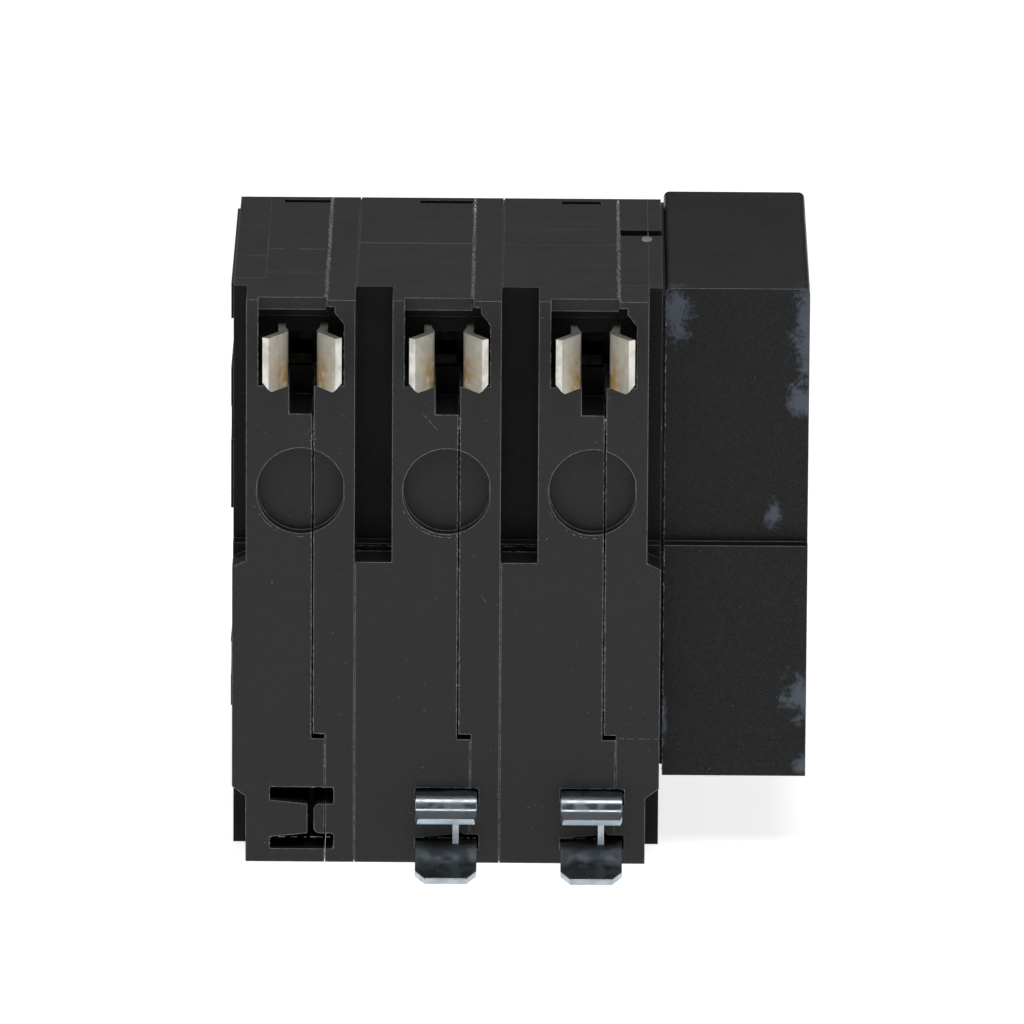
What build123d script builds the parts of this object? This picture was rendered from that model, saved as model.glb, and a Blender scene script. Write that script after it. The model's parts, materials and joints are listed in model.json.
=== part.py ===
from build123d import *
from math import cos, radians, sin
import os

# A three-pole plug-on circuit breaker with a one-pole shunt-trip module on its right side.
# All sizes are in millimetres.  While modelling, X = 0 is the middle of the three poles,
# Y = 0 is the mounting (back) face with the handle towards +Y, and Z = 0 is the load end
# with the line end up.  The finished set is moved so that the origin is the centre of its
# footprint at the load end.

# ---------------------------------------------------------------- overall case
POLE_PITCH = 19.05
POLE_COUNT = 3
BLOCK_TRIM = 1.15             # the poles together are this much narrower than their pitches
CASE_HEIGHT = 76.06           # load end to line end
SHOULDER_DEPTH = 56.1         # back face to the front shoulders
NOSE_RISE = 7.9                # shoulders to the raised front that holds the handle
NOSE_DEPTH = SHOULDER_DEPTH + NOSE_RISE
NOSE_LOW = 17.0               # the nose's foot at the load side
NOSE_HIGH = CASE_HEIGHT - 7.56 # the nose's foot at the line side
MECHANISM_Z = CASE_HEIGHT - 36.06   # the axis of the handles and of the contact arms
NOSE_DRAFT = 2.5              # how far each nose end leans in towards its top
JOINT_OFFSET = 2.375          # pole-to-pole joints lie this far left of the half pitch
JOINT_GAP = 0.12              # air between one pole's cover and the next pole's base
JOINT_PAD_AIR = 0.01          # left by the broad pad that bears on the next pole
JOINT_PAD_EDGE = 0.2           # from the pad to the back, the shoulders and both ends
PAD_PROUD = 0.35              # pads on the outer left wall
PAD_BACK = 9.6
PAD_FRONT = SHOULDER_DEPTH - 6.0
PADS = [
    (18.6, 27.7), (CASE_HEIGHT - 30.56, CASE_HEIGHT - 11.56),
    (CASE_HEIGHT - 4.96, CASE_HEIGHT - 0.16),
]

# ---------------------------------------------------------------- case halves
SEAM_FACE = 3.3               # base-to-cover seam, right of the pole's centre
SEAM_BACK = 1.7               # the same seam where the cover's tongue reaches further left
SEAM_HAIR = 0.12              # closed seam
SEAM_OPEN = 0.25              # open seam beside the tongue
TONGUE_LOW = 17.5             # lower end of the tongue
TONGUE_NOTCH = 0.7            # open notch under the tongue
CAVITY_LEFT = 3.175 - POLE_PITCH / 2 # inside of the case, from the pole's centre
CAVITY_RIGHT = POLE_PITCH / 2 - 3.925
BACK_WALL = 12.0              # thick back wall: it holds the jaw, the hook and two rivets
FRONT_WALL = 2.5
NOSE_WALL = 2.0
END_WALL = 3.0
LINE_BOSS_DEPTH = SHOULDER_DEPTH - 6.6 # above the nose the inside stops here, for the front rivet
MIDDLE = (CAVITY_LEFT + CAVITY_RIGHT) / 2

# ---------------------------------------------------------------- back face features
SLOT_WIDTH = 4.75             # clearance slots for the panel's barriers
SLOT_DEPTH = 7.6
LEDGE_DEPTH = 5.4
LEDGE_TOP = CASE_HEIGHT - 34.16
SLOT_LOW = LEDGE_TOP - 1.1
SIDE_STRIP = 1.8              # half slots on the two outer sides
STRIP_RETURN = 0.8            # slope at the lower end of a half slot
RING_RADIUS = 5.77
RING_FLAT = 5.6
RING_HEIGHT = CASE_HEIGHT - 25.66
RING_DEPTH = 1.8
NOTCH_HIGH = 8.9              # load-end notches on the two outer sides
NOTCH_SLOPE = 1.35
NOTCH_DEPTH = 9.3
POCKET_HALF = 5.6             # pocket around each line jaw
POCKET_LOW = CASE_HEIGHT - 11.56
POCKET_HIGH = CASE_HEIGHT - 1.66
POCKET_STEP_DEPTH = 6.0
POCKET_STEP_HIGH = POCKET_HIGH - 2.0
POCKET_DEPTH = BACK_WALL - 1.5
LINE_LIP_DROP = 1.5           # the line-end wall stands this far below the back face
STAB_LEFT = -1.55             # slot for the panel's bus stab
STAB_LOW = POCKET_LOW - 3.75
VENT_FRONT = SHOULDER_DEPTH - 1.4 # arc vents in the line-end face
VENT_WIDTH = 1.7
VENT_DEEP = 3.0
VENT_SPANS = [(-3.2, 3.2), (-4.2, 3.1), (-4.3, 1.0)]
GROOVE_NEAR = 35.7            # cross groove on the last cover's line-end face
GROOVE_FAR = 38.9
GROOVE_DEEP = 1.2

# ---------------------------------------------------------------- hook seat and hooks
SEAT_LEFT = -4.0
SEAT_RIGHT = 4.4
SEAT_UPPER = (8.4, 10.2)
SEAT_LOWER = (1.8, 3.4)
SEAT_TAPER = 0.5
SEAT_DEPTH = 9.3
HOOK_SHEET = 0.8
HOOK_LEFT = -3.9
HOOK_RIGHT = 4.15
HOOK_WEB_LEFT = 0.98
HOOK_WEB_CLEAR = 0.01
HOOK_TAIL = SEAT_DEPTH - 0.4  # how deep the hook's legs sit
HOOK_UPPER_Z = 9.45
HOOK_LOWER_Z = 2.62
# the flanges bend at these depths; heights are below each flange's own level
UPPER_BENDS = [(-2.7, 0.0), (-3.3, 1.6), (-5.2, 2.4)]
UPPER_RADII = [0.9, 1.0]
LOWER_BENDS = [(-1.6, 0.0), (-5.0, 2.07), (-10.3, 2.14)]
LOWER_RADII = [3.0, 6.0]
LOWER_CORNER = (1.6, 3.4)     # cut off the lower lip's corners: across, along the lip
UPPER_CORNER = (0.6, 0.8)
HOOK_WEB_FRONT = -1.4
HOOK_POLES = [2, 3]

# ---------------------------------------------------------------- line jaws and contacts
JAW_SHEET = 0.95
JAW_LOW = POCKET_LOW + 0.15
JAW_HEIGHT = 7.35
JAW_RIGHT = 0.2               # the jaw sits this far right of the pole's centre
JAW_LEG = 2.75                # leg centre line, from the jaw's middle
JAW_NARROW_FROM = 4.4         # deeper than this the legs are only JAW_TAIL high
JAW_TAIL = 4.6
JAW_BACK = 2.0                # depth of the legs behind the back wall
JAW_NECK = 2.28               # contact bend
JAW_NECK_DEPTH = -0.4
JAW_LIP = 4.75
JAW_LIP_DEPTH = -4.2
JAW_CHAMFER = 0.9
JAW_FIT = 0.1                 # around the jaw in the back wall
STRAP_AIR = 0.05              # between the line strap and the back wall
WEB_HIGH = JAW_LOW - 2.15     # top of the web that joins the two legs
STRAP_LOW = JAW_LOW - 10.15
TIP_HALF = 2.0
TIP_LOW = STRAP_LOW + 1.0
TIP_HIGH = TIP_LOW + 4.0
FIXED_TIP = 1.4
MOVING_TIP = 1.2
TIP_TOUCH = 0.05

# ---------------------------------------------------------------- moving contact
ARM_Y = BACK_WALL + 15.0
ARM_Z = MECHANISM_Z
ARM_HALF = 1.6
ARM_HUB = 3.2
ARM_BEAM = 3.6
ARM_SWING = 24.0              # closed to open, degrees
PIN_RADIUS = 1.2
PIN_SEAT = 0.02
PIN_RUNNING = 0.05
LEFT_SEAT = 1.5               # how deep pins and trunnions sit in the base wall
RIGHT_SEAT = 1.0              # and in the cover wall
SIDE_PLAY = 0.35

# ---------------------------------------------------------------- handle
HANDLE_Y = NOSE_DEPTH - 14.0
HANDLE_Z = MECHANISM_Z
HANDLE_THROW = 44.0           # off to on, degrees
HANDLE_REACH = 24.2           # pivot to the tie bar's outer face
DRUM_RADIUS = 12.5
DRUM_SPREAD = 57.0            # half angle of the drum that covers the slot
DRUM_AIR = 0.3
HANDLE_HUB = 4.0
TRUNNION = 2.0
TRUNNION_RUNNING = 0.06
TAB_HALF_WIDTH = 4.2
TAB_THICK = 5.2
TAB_AIR = 0.4
LEG_REACH = 10.0
LEG_THICK = 3.0
TIE_THICK = 8.0
TIE_DEEP = 4.7
TIE_WALL = 0.9
TIE_FIT = 0.1
TIE_END = 1.4

# ---------------------------------------------------------------- cradle, armature, trip bar
CRADLE_Y = ARM_Y + 9.0
CRADLE_Z = MECHANISM_Z - 8.0
CRADLE_HUB = 3.0
LATCH_Z = MECHANISM_Z - 17.5
TRIP_TURN = 15.0              # trip bar travel, degrees
ARMATURE_Y = BACK_WALL + 4.2  # its face towards the magnet
ARMATURE_THICK = 1.0
LATCH_Y = ARMATURE_Y + ARMATURE_THICK + 3.4
ARMATURE_LOW = MECHANISM_Z - 20.0
ARMATURE_PIVOT_Z = MECHANISM_Z - 2.5
ARMATURE_HALF = 4.2
ARMATURE_PIN = 0.8
BIMETAL_Y = BACK_WALL + 1.7
BIMETAL_THICK = 0.8
BIMETAL_HALF = 2.9
BIMETAL_TOP = MECHANISM_Z - 4.0
YOKE_LOW = MECHANISM_Z - 14.0
YOKE_HIGH = MECHANISM_Z - 6.0
YOKE_THICK = 1.0
YOKE_AIR = 1.0
TRIP_BAR_Y = ARM_Y - 2.5
TRIP_BAR_Z = MECHANISM_Z - 24.5
TRIP_BAR_RADIUS = 2.2
TRIP_BAR_RUNNING = 0.08
TRIP_BAR_WALL = 1.0           # left at the blind end of its bore
PADDLE_TIP_Y = ARMATURE_Y + ARMATURE_THICK + 0.45
PADDLE_TIP_Z = TRIP_BAR_Z + 6.1
BRAID_RADIUS = 0.9
SPRING_WIRE = 0.25
SPRING_RADIUS = 1.7
SPRING_PITCH = 0.8
SPRING_SLACK = 1.225           # hooks of the toggle spring, at each end
ARC_PLATE = 1.2
ARC_PLATE_STEP = 4.6
ARC_PLATE_FIRST = BACK_WALL + 5.0
ARC_PLATE_LOW = TIP_HIGH + 3.9
ARC_NOTCH = 3.0
FLAG_TRAVEL = 3.4
FLAG_HALF = 2.6
FLAG_AIR = 0.8                # flag to the inside of the nose
FLAG_THICK = 1.0
WINDOW_LOW = MECHANISM_Z + 15.3
WINDOW_HIGH = WINDOW_LOW + 3.6
WINDOW_HALF = 2.2
WINDOW_FIT = 0.05
FLAG_TAIL = 3.0
FLAG_LAP = 0.1                # flag past each edge of its window at both ends of its drop

# ---------------------------------------------------------------- load terminal
LUG_Z = 8.5
LUG_Y = SHOULDER_DEPTH - 15.1
LUG_BORE = 3.4
LUG_HALF = 4.7
LUG_HEIGHT = 9.0
LUG_BACK_WALL = 1.6
LUG_FRONT_WALL = 2.1
WIRE_HOLE = 4.0
SCREW_SHANK = 2.5
SCREW_RUNNING = 0.08
SCREW_HEAD = 3.7
SCREW_HEAD_HIGH = 2.6
SCREW_TRAVEL = 5.0
SCREW_HOLE = 4.0
STRAP_THICK = 1.2
STRAP_BOTTOM = 5.0

# ---------------------------------------------------------------- rivets
RIVET_RADIUS = 1.3
RIVET_AIR = 0.1
RIVET_HEAD = 2.3
RIVET_HEAD_DEEP = 0.8
RIVET_BOSS = 1.3              # wall around a rivet inside the case
RIVET_FROM_TAB = 1.6           # between a front rivet and the plunger's tab

# ---------------------------------------------------------------- shunt-trip module
MODULE_GAP = 0.4              # between the poles and the module's shell
MODULE_WIDTH = 18.85
MODULE_LOW = 10.6
MODULE_SHOULDER = SHOULDER_DEPTH + 4.4
MODULE_WALL = 1.6
MODULE_CORNER = 0.8
PLATE_AIR = 0.05              # the module's base plate clears the last cover by this
PLATE_THICK = 1.8
PLATE_INSET = 1.2
COIL_LOW = TRIP_BAR_Z + 12.5
COIL_HIGH = COIL_LOW + 24.0
COIL_RADIUS = 6.6
BOBBIN_WALL = 0.8
FRAME_PLATE = 1.2
PLUNGER_RADIUS = 2.4
BOBBIN_BORE = PLUNGER_RADIUS + 0.3
PLUNGER_TOP = COIL_LOW + 16.0
CORE_AIR = 0.9                # plunger to fixed core when the plunger is up
CRANK_REACH = 8.0
COIL_Y = TRIP_BAR_Y + CRANK_REACH
CRANK_HALF = 1.6
CRANK_TIP = 1.1
CLEVIS_AIR = 0.5
CLEVIS_DEEP = 1.2
SWITCH_Y = (COIL_Y + 9.8, COIL_Y + 19.5)
SWITCH_Z = (COIL_LOW - 1.0, COIL_LOW + 13.0)
SWITCH_HALF = 3.4
BUTTON_Y = COIL_Y + 13.5
TAB_PAST_BUTTON = 1.6
BUTTON_RADIUS = 1.0
TAB_TOP = COIL_LOW - 4.0
CLAMP_PLACES = [6.2, 13.2]     # from the left of the module's shell
CLAMP_HALF = 2.8
CLAMP_Y = MODULE_SHOULDER - 12.5
CLAMP_BORE = 1.6
CLAMP_Z = (MODULE_LOW + 2.2, MODULE_LOW + 8.2)
CLAMP_SCREW = 1.4
CLAMP_HEAD = 2.3
CLAMP_TRAVEL = 2.4
CLAMP_AIR = 0.5               # around the screw heads and the wires in the shell

# ---------------------------------------------------------------- worked-out places
HALF_BLOCK = (POLE_COUNT * POLE_PITCH - BLOCK_TRIM) / 2
CENTRES = [POLE_PITCH * (n - (POLE_COUNT - 1) / 2) for n in range(POLE_COUNT)]
JOINTS = [CENTRES[n] + POLE_PITCH / 2 - JOINT_OFFSET for n in range(POLE_COUNT - 1)]
LEFTS = [-HALF_BLOCK] + JOINTS
RIGHTS = [joint - JOINT_GAP for joint in JOINTS] + [HALF_BLOCK]
MODULE_LEFT = HALF_BLOCK + MODULE_GAP
MODULE_RIGHT = MODULE_LEFT + MODULE_WIDTH
COIL_X = MODULE_LEFT + MODULE_WIDTH / 2 - 0.025
CLAMP_XS = [MODULE_LEFT + place for place in CLAMP_PLACES]
CAVITY_FRONT = SHOULDER_DEPTH - FRONT_WALL
NOSE_INSIDE = NOSE_DEPTH - NOSE_WALL
FLAG_FRONT = NOSE_INSIDE - FLAG_AIR
ARC_PLATE_COUNT = 1 + int((LINE_BOSS_DEPTH - ARC_PLATE_FIRST - ARC_PLATE) / ARC_PLATE_STEP)
STRAP_FACE = BACK_WALL + STRAP_AIR + JAW_SHEET       # front of the line strap
MOVING_FACE = STRAP_FACE + FIXED_TIP + TIP_TOUCH       # closed moving tip, rear face
ARM_FACE = MOVING_FACE + MOVING_TIP                    # closed arm, rear face
LUG_BACK = LUG_Y - LUG_BORE - LUG_BACK_WALL
LUG_FRONT = LUG_Y + LUG_BORE + LUG_FRONT_WALL
LUG_LOW = LUG_Z - LUG_HEIGHT / 2
HEAD_UNDER = LUG_FRONT + SCREW_TRAVEL + 0.3
FLAG_LOW = WINDOW_LOW - FLAG_LAP - FLAG_TAIL
FLAG_HIGH = WINDOW_HIGH + FLAG_LAP + FLAG_TRAVEL
PLUNGER_LIFT = CRANK_REACH * sin(radians(TRIP_TURN))
TAB_FRONT = BUTTON_Y + TAB_PAST_BUTTON                 # front end of the plunger's tab
BACK_RIVET_Y = BACK_WALL - 1.65
BACK_RIVETS = [(BACK_RIVET_Y, CASE_HEIGHT - 19.06), (BACK_RIVET_Y, MECHANISM_Z - 15.0)]
FRONT_RIVETS = [
    (SHOULDER_DEPTH - 3.6, CASE_HEIGHT - 5.56),
    (TAB_FRONT + RIVET_FROM_TAB + RIVET_RADIUS, MECHANISM_Z - 17.5),
]
RIVETS = BACK_RIVETS + FRONT_RIVETS
FAR = 100.0                   # a length past every part, for cuts


# ================================================================ shape helpers
def block(x0, x1, y0, y1, z0, z1):
    """A box between two corners."""
    middle = Pos((x0 + x1) / 2, (y0 + y1) / 2, (z0 + z1) / 2)
    return middle * Box(x1 - x0, y1 - y0, z1 - z0)


def rod_x(x0, x1, y, z, radius):
    return Pos((x0 + x1) / 2, y, z) * Rot(0, 90, 0) * Cylinder(radius, x1 - x0)


def rod_y(y0, y1, x, z, radius):
    return Pos(x, (y0 + y1) / 2, z) * Rot(90, 0, 0) * Cylinder(radius, y1 - y0)


def rod_z(z0, z1, x, y, radius):
    return Pos(x, y, (z0 + z1) / 2) * Cylinder(radius, z1 - z0)


def side_plate(points, x0, x1):
    """A (y, z) outline made thick along X."""
    face = Plane.YZ * make_face(Polyline(*points, close=True))
    return Pos(x0, 0, 0) * extrude(face, amount=x1 - x0)


def back_plate(outline, y0, y1):
    """An outline drawn in (x, z) made thick along Y."""
    face = Plane.XZ * make_face(outline)
    return Pos(0, y1, 0) * extrude(face, amount=y1 - y0)


def plan_plate(points, z0, z1):
    """An (x, y) outline made thick along Z."""
    return Pos(0, 0, z0) * extrude(make_face(Polyline(*points, close=True)), amount=z1 - z0)


def bent_sheet(path, sheet, x0, x1):
    """A sheet that follows a (y, z) path and is x1 - x0 wide."""
    return Pos(x0, 0, 0) * extrude(Plane.YZ * trace(path, line_width=sheet), amount=x1 - x0)


def turned(part, y, z, degrees):
    """A part turned about an axis along X."""
    return Pos(0, y, z) * Rot(degrees, 0, 0) * Pos(0, -y, -z) * part


def group(parts):
    """Separate solids that share one node."""
    return Compound(children=[solid for part in parts for solid in part.solids()])


# ================================================================ case
def front_outline(back, low, high, shoulder):
    """Side view of a case with flat shoulders and a raised nose."""
    return [
        (back, low), (shoulder, low), (shoulder, NOSE_LOW), (NOSE_DEPTH, NOSE_LOW + NOSE_DRAFT),
        (NOSE_DEPTH, NOSE_HIGH - NOSE_DRAFT), (shoulder, NOSE_HIGH), (shoulder, high),
        (back, high),
    ]


def pole_cavity(centre):
    """The inside of one pole."""
    nose_low = NOSE_LOW + NOSE_WALL
    nose_high = NOSE_HIGH - NOSE_WALL
    outline = [
        (BACK_WALL, END_WALL), (CAVITY_FRONT, END_WALL), (CAVITY_FRONT, nose_low),
        (NOSE_INSIDE, nose_low + NOSE_DRAFT), (NOSE_INSIDE, nose_high - NOSE_DRAFT),
        (CAVITY_FRONT, nose_high), (LINE_BOSS_DEPTH, nose_high),
        (LINE_BOSS_DEPTH, CASE_HEIGHT - END_WALL), (BACK_WALL, CASE_HEIGHT - END_WALL),
    ]
    inside = side_plate(outline, centre + CAVITY_LEFT, centre + CAVITY_RIGHT)
    for y, z in FRONT_RIVETS:
        inside -= rod_x(-FAR, FAR, y, z, RIVET_RADIUS + RIVET_AIR + RIVET_BOSS)
    return inside


def pivot_holes(centre):
    """Blind seats in the two side walls for everything that turns inside a pole."""
    left = centre + CAVITY_LEFT - LEFT_SEAT
    right = centre + CAVITY_RIGHT + RIGHT_SEAT
    seats = rod_x(left, right, HANDLE_Y, HANDLE_Z, TRUNNION + TRUNNION_RUNNING)
    seats += rod_x(left, right, ARM_Y, ARM_Z, PIN_RADIUS + PIN_SEAT)
    seats += rod_x(left, right, CRADLE_Y, CRADLE_Z, PIN_RADIUS + PIN_SEAT)
    armature_y = ARMATURE_Y + ARMATURE_THICK / 2
    seats += rod_x(left, right, armature_y, ARMATURE_PIVOT_Z, ARMATURE_PIN + PIN_RUNNING)
    return seats


def handle_opening(centre):
    """Drum clearance and the slot that the handle's tab moves in."""
    middle = centre + MIDDLE
    radius = DRUM_RADIUS + DRUM_AIR
    drum = rod_x(centre + CAVITY_LEFT, centre + CAVITY_RIGHT, HANDLE_Y, HANDLE_Z, radius)
    half_throw = radians(HANDLE_THROW / 2)
    reach = NOSE_DEPTH - HANDLE_Y
    travel = reach * sin(half_throw) / cos(half_throw)
    half_slot = travel + TAB_THICK / 2 / cos(half_throw) + TAB_AIR
    half_width = TAB_HALF_WIDTH + TAB_AIR
    return drum + block(
        middle - half_width, middle + half_width, HANDLE_Y + HANDLE_HUB, NOSE_DEPTH + 1,
        HANDLE_Z - half_slot, HANDLE_Z + half_slot)


def jaw_pocket(centre):
    """Stepped pocket for the line jaw, the wall window behind it and the bus stab's slot."""
    corner = SEAM_FACE + 1.05
    outline = Polyline(
        (centre - POCKET_HALF, POCKET_LOW), (centre + POCKET_HALF, POCKET_LOW),
        (centre + POCKET_HALF, POCKET_HIGH - 1.6), (centre + corner, POCKET_HIGH),
        (centre + corner, POCKET_HIGH + 0.8), (centre + SEAM_FACE, POCKET_HIGH + 0.8),
        (centre + SEAM_FACE, POCKET_HIGH), (centre - POCKET_HALF, POCKET_HIGH), close=True)
    pocket = back_plate(outline, -1, POCKET_STEP_DEPTH)
    pocket += block(
        centre - POCKET_HALF, centre + POCKET_HALF, 0, POCKET_DEPTH, POCKET_LOW, POCKET_STEP_HIGH)
    half_window = JAW_LEG + JAW_SHEET / 2 + JAW_FIT
    middle = centre + JAW_RIGHT
    pocket += block(
        middle - half_window, middle + half_window, 0, BACK_WALL + 1,
        JAW_LOW - JAW_FIT, JAW_LOW + JAW_TAIL + JAW_FIT)
    pocket += block(
        centre + STAB_LEFT, centre + SEAM_BACK, -1, POCKET_DEPTH, STAB_LOW, POCKET_LOW + 1)
    pocket += block(
        centre - POCKET_HALF, centre + SEAM_FACE, -1, LINE_LIP_DROP,
        POCKET_HIGH - 1, CASE_HEIGHT + 1)
    return pocket


def ring_recess(centre):
    """Shallow round recess, cut flat on the cover's side."""
    recess = rod_y(-1, RING_DEPTH, centre, RING_HEIGHT, RING_RADIUS)
    return recess & block(
        centre - FAR, centre + RING_FLAT, -2, FAR, -FAR, FAR)


def hook_seat(centre):
    """H-shaped seat for a mounting hook."""
    upper_low, upper_high = SEAT_UPPER
    lower_low, lower_high = SEAT_LOWER
    web_left = centre + HOOK_WEB_LEFT - HOOK_WEB_CLEAR
    web_right = centre + HOOK_WEB_LEFT + HOOK_SHEET + HOOK_WEB_CLEAR
    left = centre + SEAT_LEFT
    right = centre + SEAT_RIGHT
    points = [
        (left, upper_high), (right, upper_high), (right, upper_low - SEAT_TAPER),
        (web_right, upper_low - SEAT_TAPER), (web_right, lower_high + SEAT_TAPER),
        (right, lower_high + SEAT_TAPER), (right, lower_low), (left, lower_low),
        (left, lower_high), (web_left, lower_high + SEAT_TAPER),
        (web_left, upper_low - SEAT_TAPER), (left, upper_low),
    ]
    radii = [0.3, 0.4, 0.2, 0.8, 0.8, 0.4, 0.3, 0.3, 0.3, 0.2, 0.2, 0.3]
    return back_plate(FilletPolyline(*points, radius=radii, close=True), -1, SEAT_DEPTH)


def barrier_slot(x0, x1):
    """Clearance slot from the line end down to a ledge."""
    deep = block(x0, x1, -1, SLOT_DEPTH, LEDGE_TOP, CASE_HEIGHT + 1)
    return deep + block(x0, x1, -1, LEDGE_DEPTH, SLOT_LOW, LEDGE_TOP + 1)


def outer_side_cuts(side):
    """Half slot and load-end notch on one outer side; side is -1 (left) or +1 (right)."""
    inner = side * (HALF_BLOCK - SIDE_STRIP)
    outer = side * (HALF_BLOCK + 2)
    low, high = sorted((inner, outer))
    cuts = barrier_slot(low, high)
    slope = Polyline(
        (inner, SLOT_LOW + 0.1), (side * HALF_BLOCK, SLOT_LOW - STRIP_RETURN),
        (outer, SLOT_LOW - STRIP_RETURN), (outer, SLOT_LOW + 0.1), close=True)
    cuts += back_plate(slope, -1, LEDGE_DEPTH)
    notch = Polyline(
        (inner, -1), (inner, NOTCH_HIGH), (side * HALF_BLOCK, NOTCH_HIGH + NOTCH_SLOPE),
        (outer, NOTCH_HIGH + NOTCH_SLOPE), (outer, -1), close=True)
    return cuts + back_plate(notch, -1, NOTCH_DEPTH)


def load_openings(centre):
    """Wire hole in the load end and the screw hole in the load shoulder."""
    middle = centre + MIDDLE
    wire = rod_z(-1, END_WALL + 1, middle, LUG_Y, WIRE_HOLE)
    return wire + rod_y(CAVITY_FRONT - 1, SHOULDER_DEPTH + 1, middle, LUG_Z, SCREW_HOLE)


def flag_hole(centre):
    middle = centre + MIDDLE
    return block(
        middle - WINDOW_HALF - WINDOW_FIT, middle + WINDOW_HALF + WINDOW_FIT,
        NOSE_INSIDE - 0.5, NOSE_DEPTH + 1, WINDOW_LOW - WINDOW_FIT, WINDOW_HIGH + WINDOW_FIT)


def line_vent(centre, span):
    return block(
        centre + span[0], centre + span[1], VENT_FRONT - VENT_WIDTH, VENT_FRONT,
        CASE_HEIGHT - VENT_DEEP, CASE_HEIGHT + 1)


def trip_bar_bore():
    """Bearing bore of the trip bar, from a blind end in the first pole into the module."""
    return rod_x(
        -HALF_BLOCK + TRIP_BAR_WALL, COIL_X, TRIP_BAR_Y, TRIP_BAR_Z,
        TRIP_BAR_RADIUS + TRIP_BAR_RUNNING)


def rivet_bores():
    """Holes of the long rivets, sunk at both ends for the heads."""
    sunk = RIVET_HEAD_DEEP + RIVET_AIR
    bores = []
    for y, z in RIVETS:
        bores += [
            rod_x(-FAR, FAR, y, z, RIVET_RADIUS + RIVET_AIR),
            rod_x(-HALF_BLOCK - 1, -HALF_BLOCK + sunk, y, z, RIVET_HEAD + RIVET_AIR),
            rod_x(MODULE_RIGHT - sunk, MODULE_RIGHT + 1, y, z, RIVET_HEAD + RIVET_AIR),
        ]
    return bores


def whole_pole(index):
    """One pole before it is split into base and cover."""
    centre = CENTRES[index]
    outline = front_outline(0, 0, CASE_HEIGHT, SHOULDER_DEPTH)
    pole = side_plate(outline, LEFTS[index], RIGHTS[index])
    if index == 0:
        for low, high in PADS:
            pole += block(
                -HALF_BLOCK - PAD_PROUD, -HALF_BLOCK + 1, PAD_BACK, PAD_FRONT, low, high)
        pole -= outer_side_cuts(-1)
    else:
        left = LEFTS[index]
        pole += block(
            left - JOINT_GAP + JOINT_PAD_AIR, left + 1, JOINT_PAD_EDGE,
            SHOULDER_DEPTH - JOINT_PAD_EDGE, JOINT_PAD_EDGE, CASE_HEIGHT - JOINT_PAD_EDGE)
        pole -= barrier_slot(left - 1, left + SLOT_WIDTH)
    if index == POLE_COUNT - 1:
        pole -= outer_side_cuts(1)
        pole -= block(
            centre + SEAM_FACE, HALF_BLOCK + 1, GROOVE_NEAR, GROOVE_FAR,
            CASE_HEIGHT - GROOVE_DEEP, CASE_HEIGHT + 1)
    cuts = [
        pole_cavity(centre), pivot_holes(centre), handle_opening(centre), jaw_pocket(centre),
        ring_recess(centre), hook_seat(centre), load_openings(centre), flag_hole(centre),
        line_vent(centre, VENT_SPANS[index]), trip_bar_bore(),
    ]
    for cut in cuts + rivet_bores():
        pole -= cut
    return pole


def pole_halves(index):
    """Split a pole along its seam into base and cover."""
    centre = CENTRES[index]
    pole = whole_pole(index)
    face = centre + SEAM_FACE
    tongue = centre + SEAM_BACK
    cover_zone = block(face, FAR, -FAR, FAR, -FAR, FAR)
    cover_zone += block(tongue, face + 1, -FAR, BACK_WALL, TONGUE_LOW, POCKET_LOW)
    base_cut = block(face - SEAM_HAIR, FAR, -FAR, FAR, -FAR, FAR)
    base_cut += block(
        tongue - SEAM_OPEN, face + 1, -FAR, BACK_WALL + SEAM_HAIR,
        TONGUE_LOW - TONGUE_NOTCH, POCKET_LOW + SEAM_HAIR)
    return pole - base_cut, pole & cover_zone


# ================================================================ line side metal
def jaw_finger(middle, side):
    """One finger: a leg, the contact bend and the flared lip; side is -1 or +1."""
    behind = BACK_WALL + STRAP_AIR
    half = JAW_SHEET / 2
    points = [
        (JAW_LEG, JAW_NARROW_FROM), (JAW_LEG, 2.0), (JAW_NECK, JAW_NECK_DEPTH),
        (JAW_LIP, JAW_LIP_DEPTH),
    ]
    path = FilletPolyline(*[(middle + side * x, y) for x, y in points], radius=1.1)
    finger = Pos(0, 0, JAW_LOW) * extrude(trace(path, line_width=JAW_SHEET), amount=JAW_HEIGHT)
    left = middle + side * JAW_LEG - half
    right = middle + side * JAW_LEG + half
    finger += block(
        left, right, JAW_NARROW_FROM - 0.5, behind + JAW_BACK, JAW_LOW, JAW_LOW + JAW_TAIL)
    finger += block(
        left, right, behind, behind + JAW_BACK, WEB_HIGH - 1, JAW_LOW + JAW_TAIL)
    outer = middle + side * (JAW_LIP + JAW_SHEET)
    reach = JAW_CHAMFER + JAW_SHEET
    corner = Polyline(
        (outer, JAW_LOW - 0.1), (outer - side * reach, JAW_LOW - 0.1), (outer, JAW_LOW + reach),
        close=True)
    return finger - back_plate(corner, JAW_LIP_DEPTH - 2, JAW_NECK_DEPTH - 1)


def line_jaw(centre):
    """Spring jaw: two fingers on a web that stands behind the back wall."""
    middle = centre + JAW_RIGHT
    half = JAW_LEG + JAW_SHEET / 2
    web = block(
        middle - half, middle + half, STRAP_FACE - JAW_SHEET, STRAP_FACE, STRAP_LOW, WEB_HIGH)
    return web + jaw_finger(middle, -1) + jaw_finger(middle, 1)


def fixed_tip(centre):
    return block(
        centre - TIP_HALF, centre + TIP_HALF, STRAP_FACE, STRAP_FACE + FIXED_TIP,
        TIP_LOW, TIP_HIGH)


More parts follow.
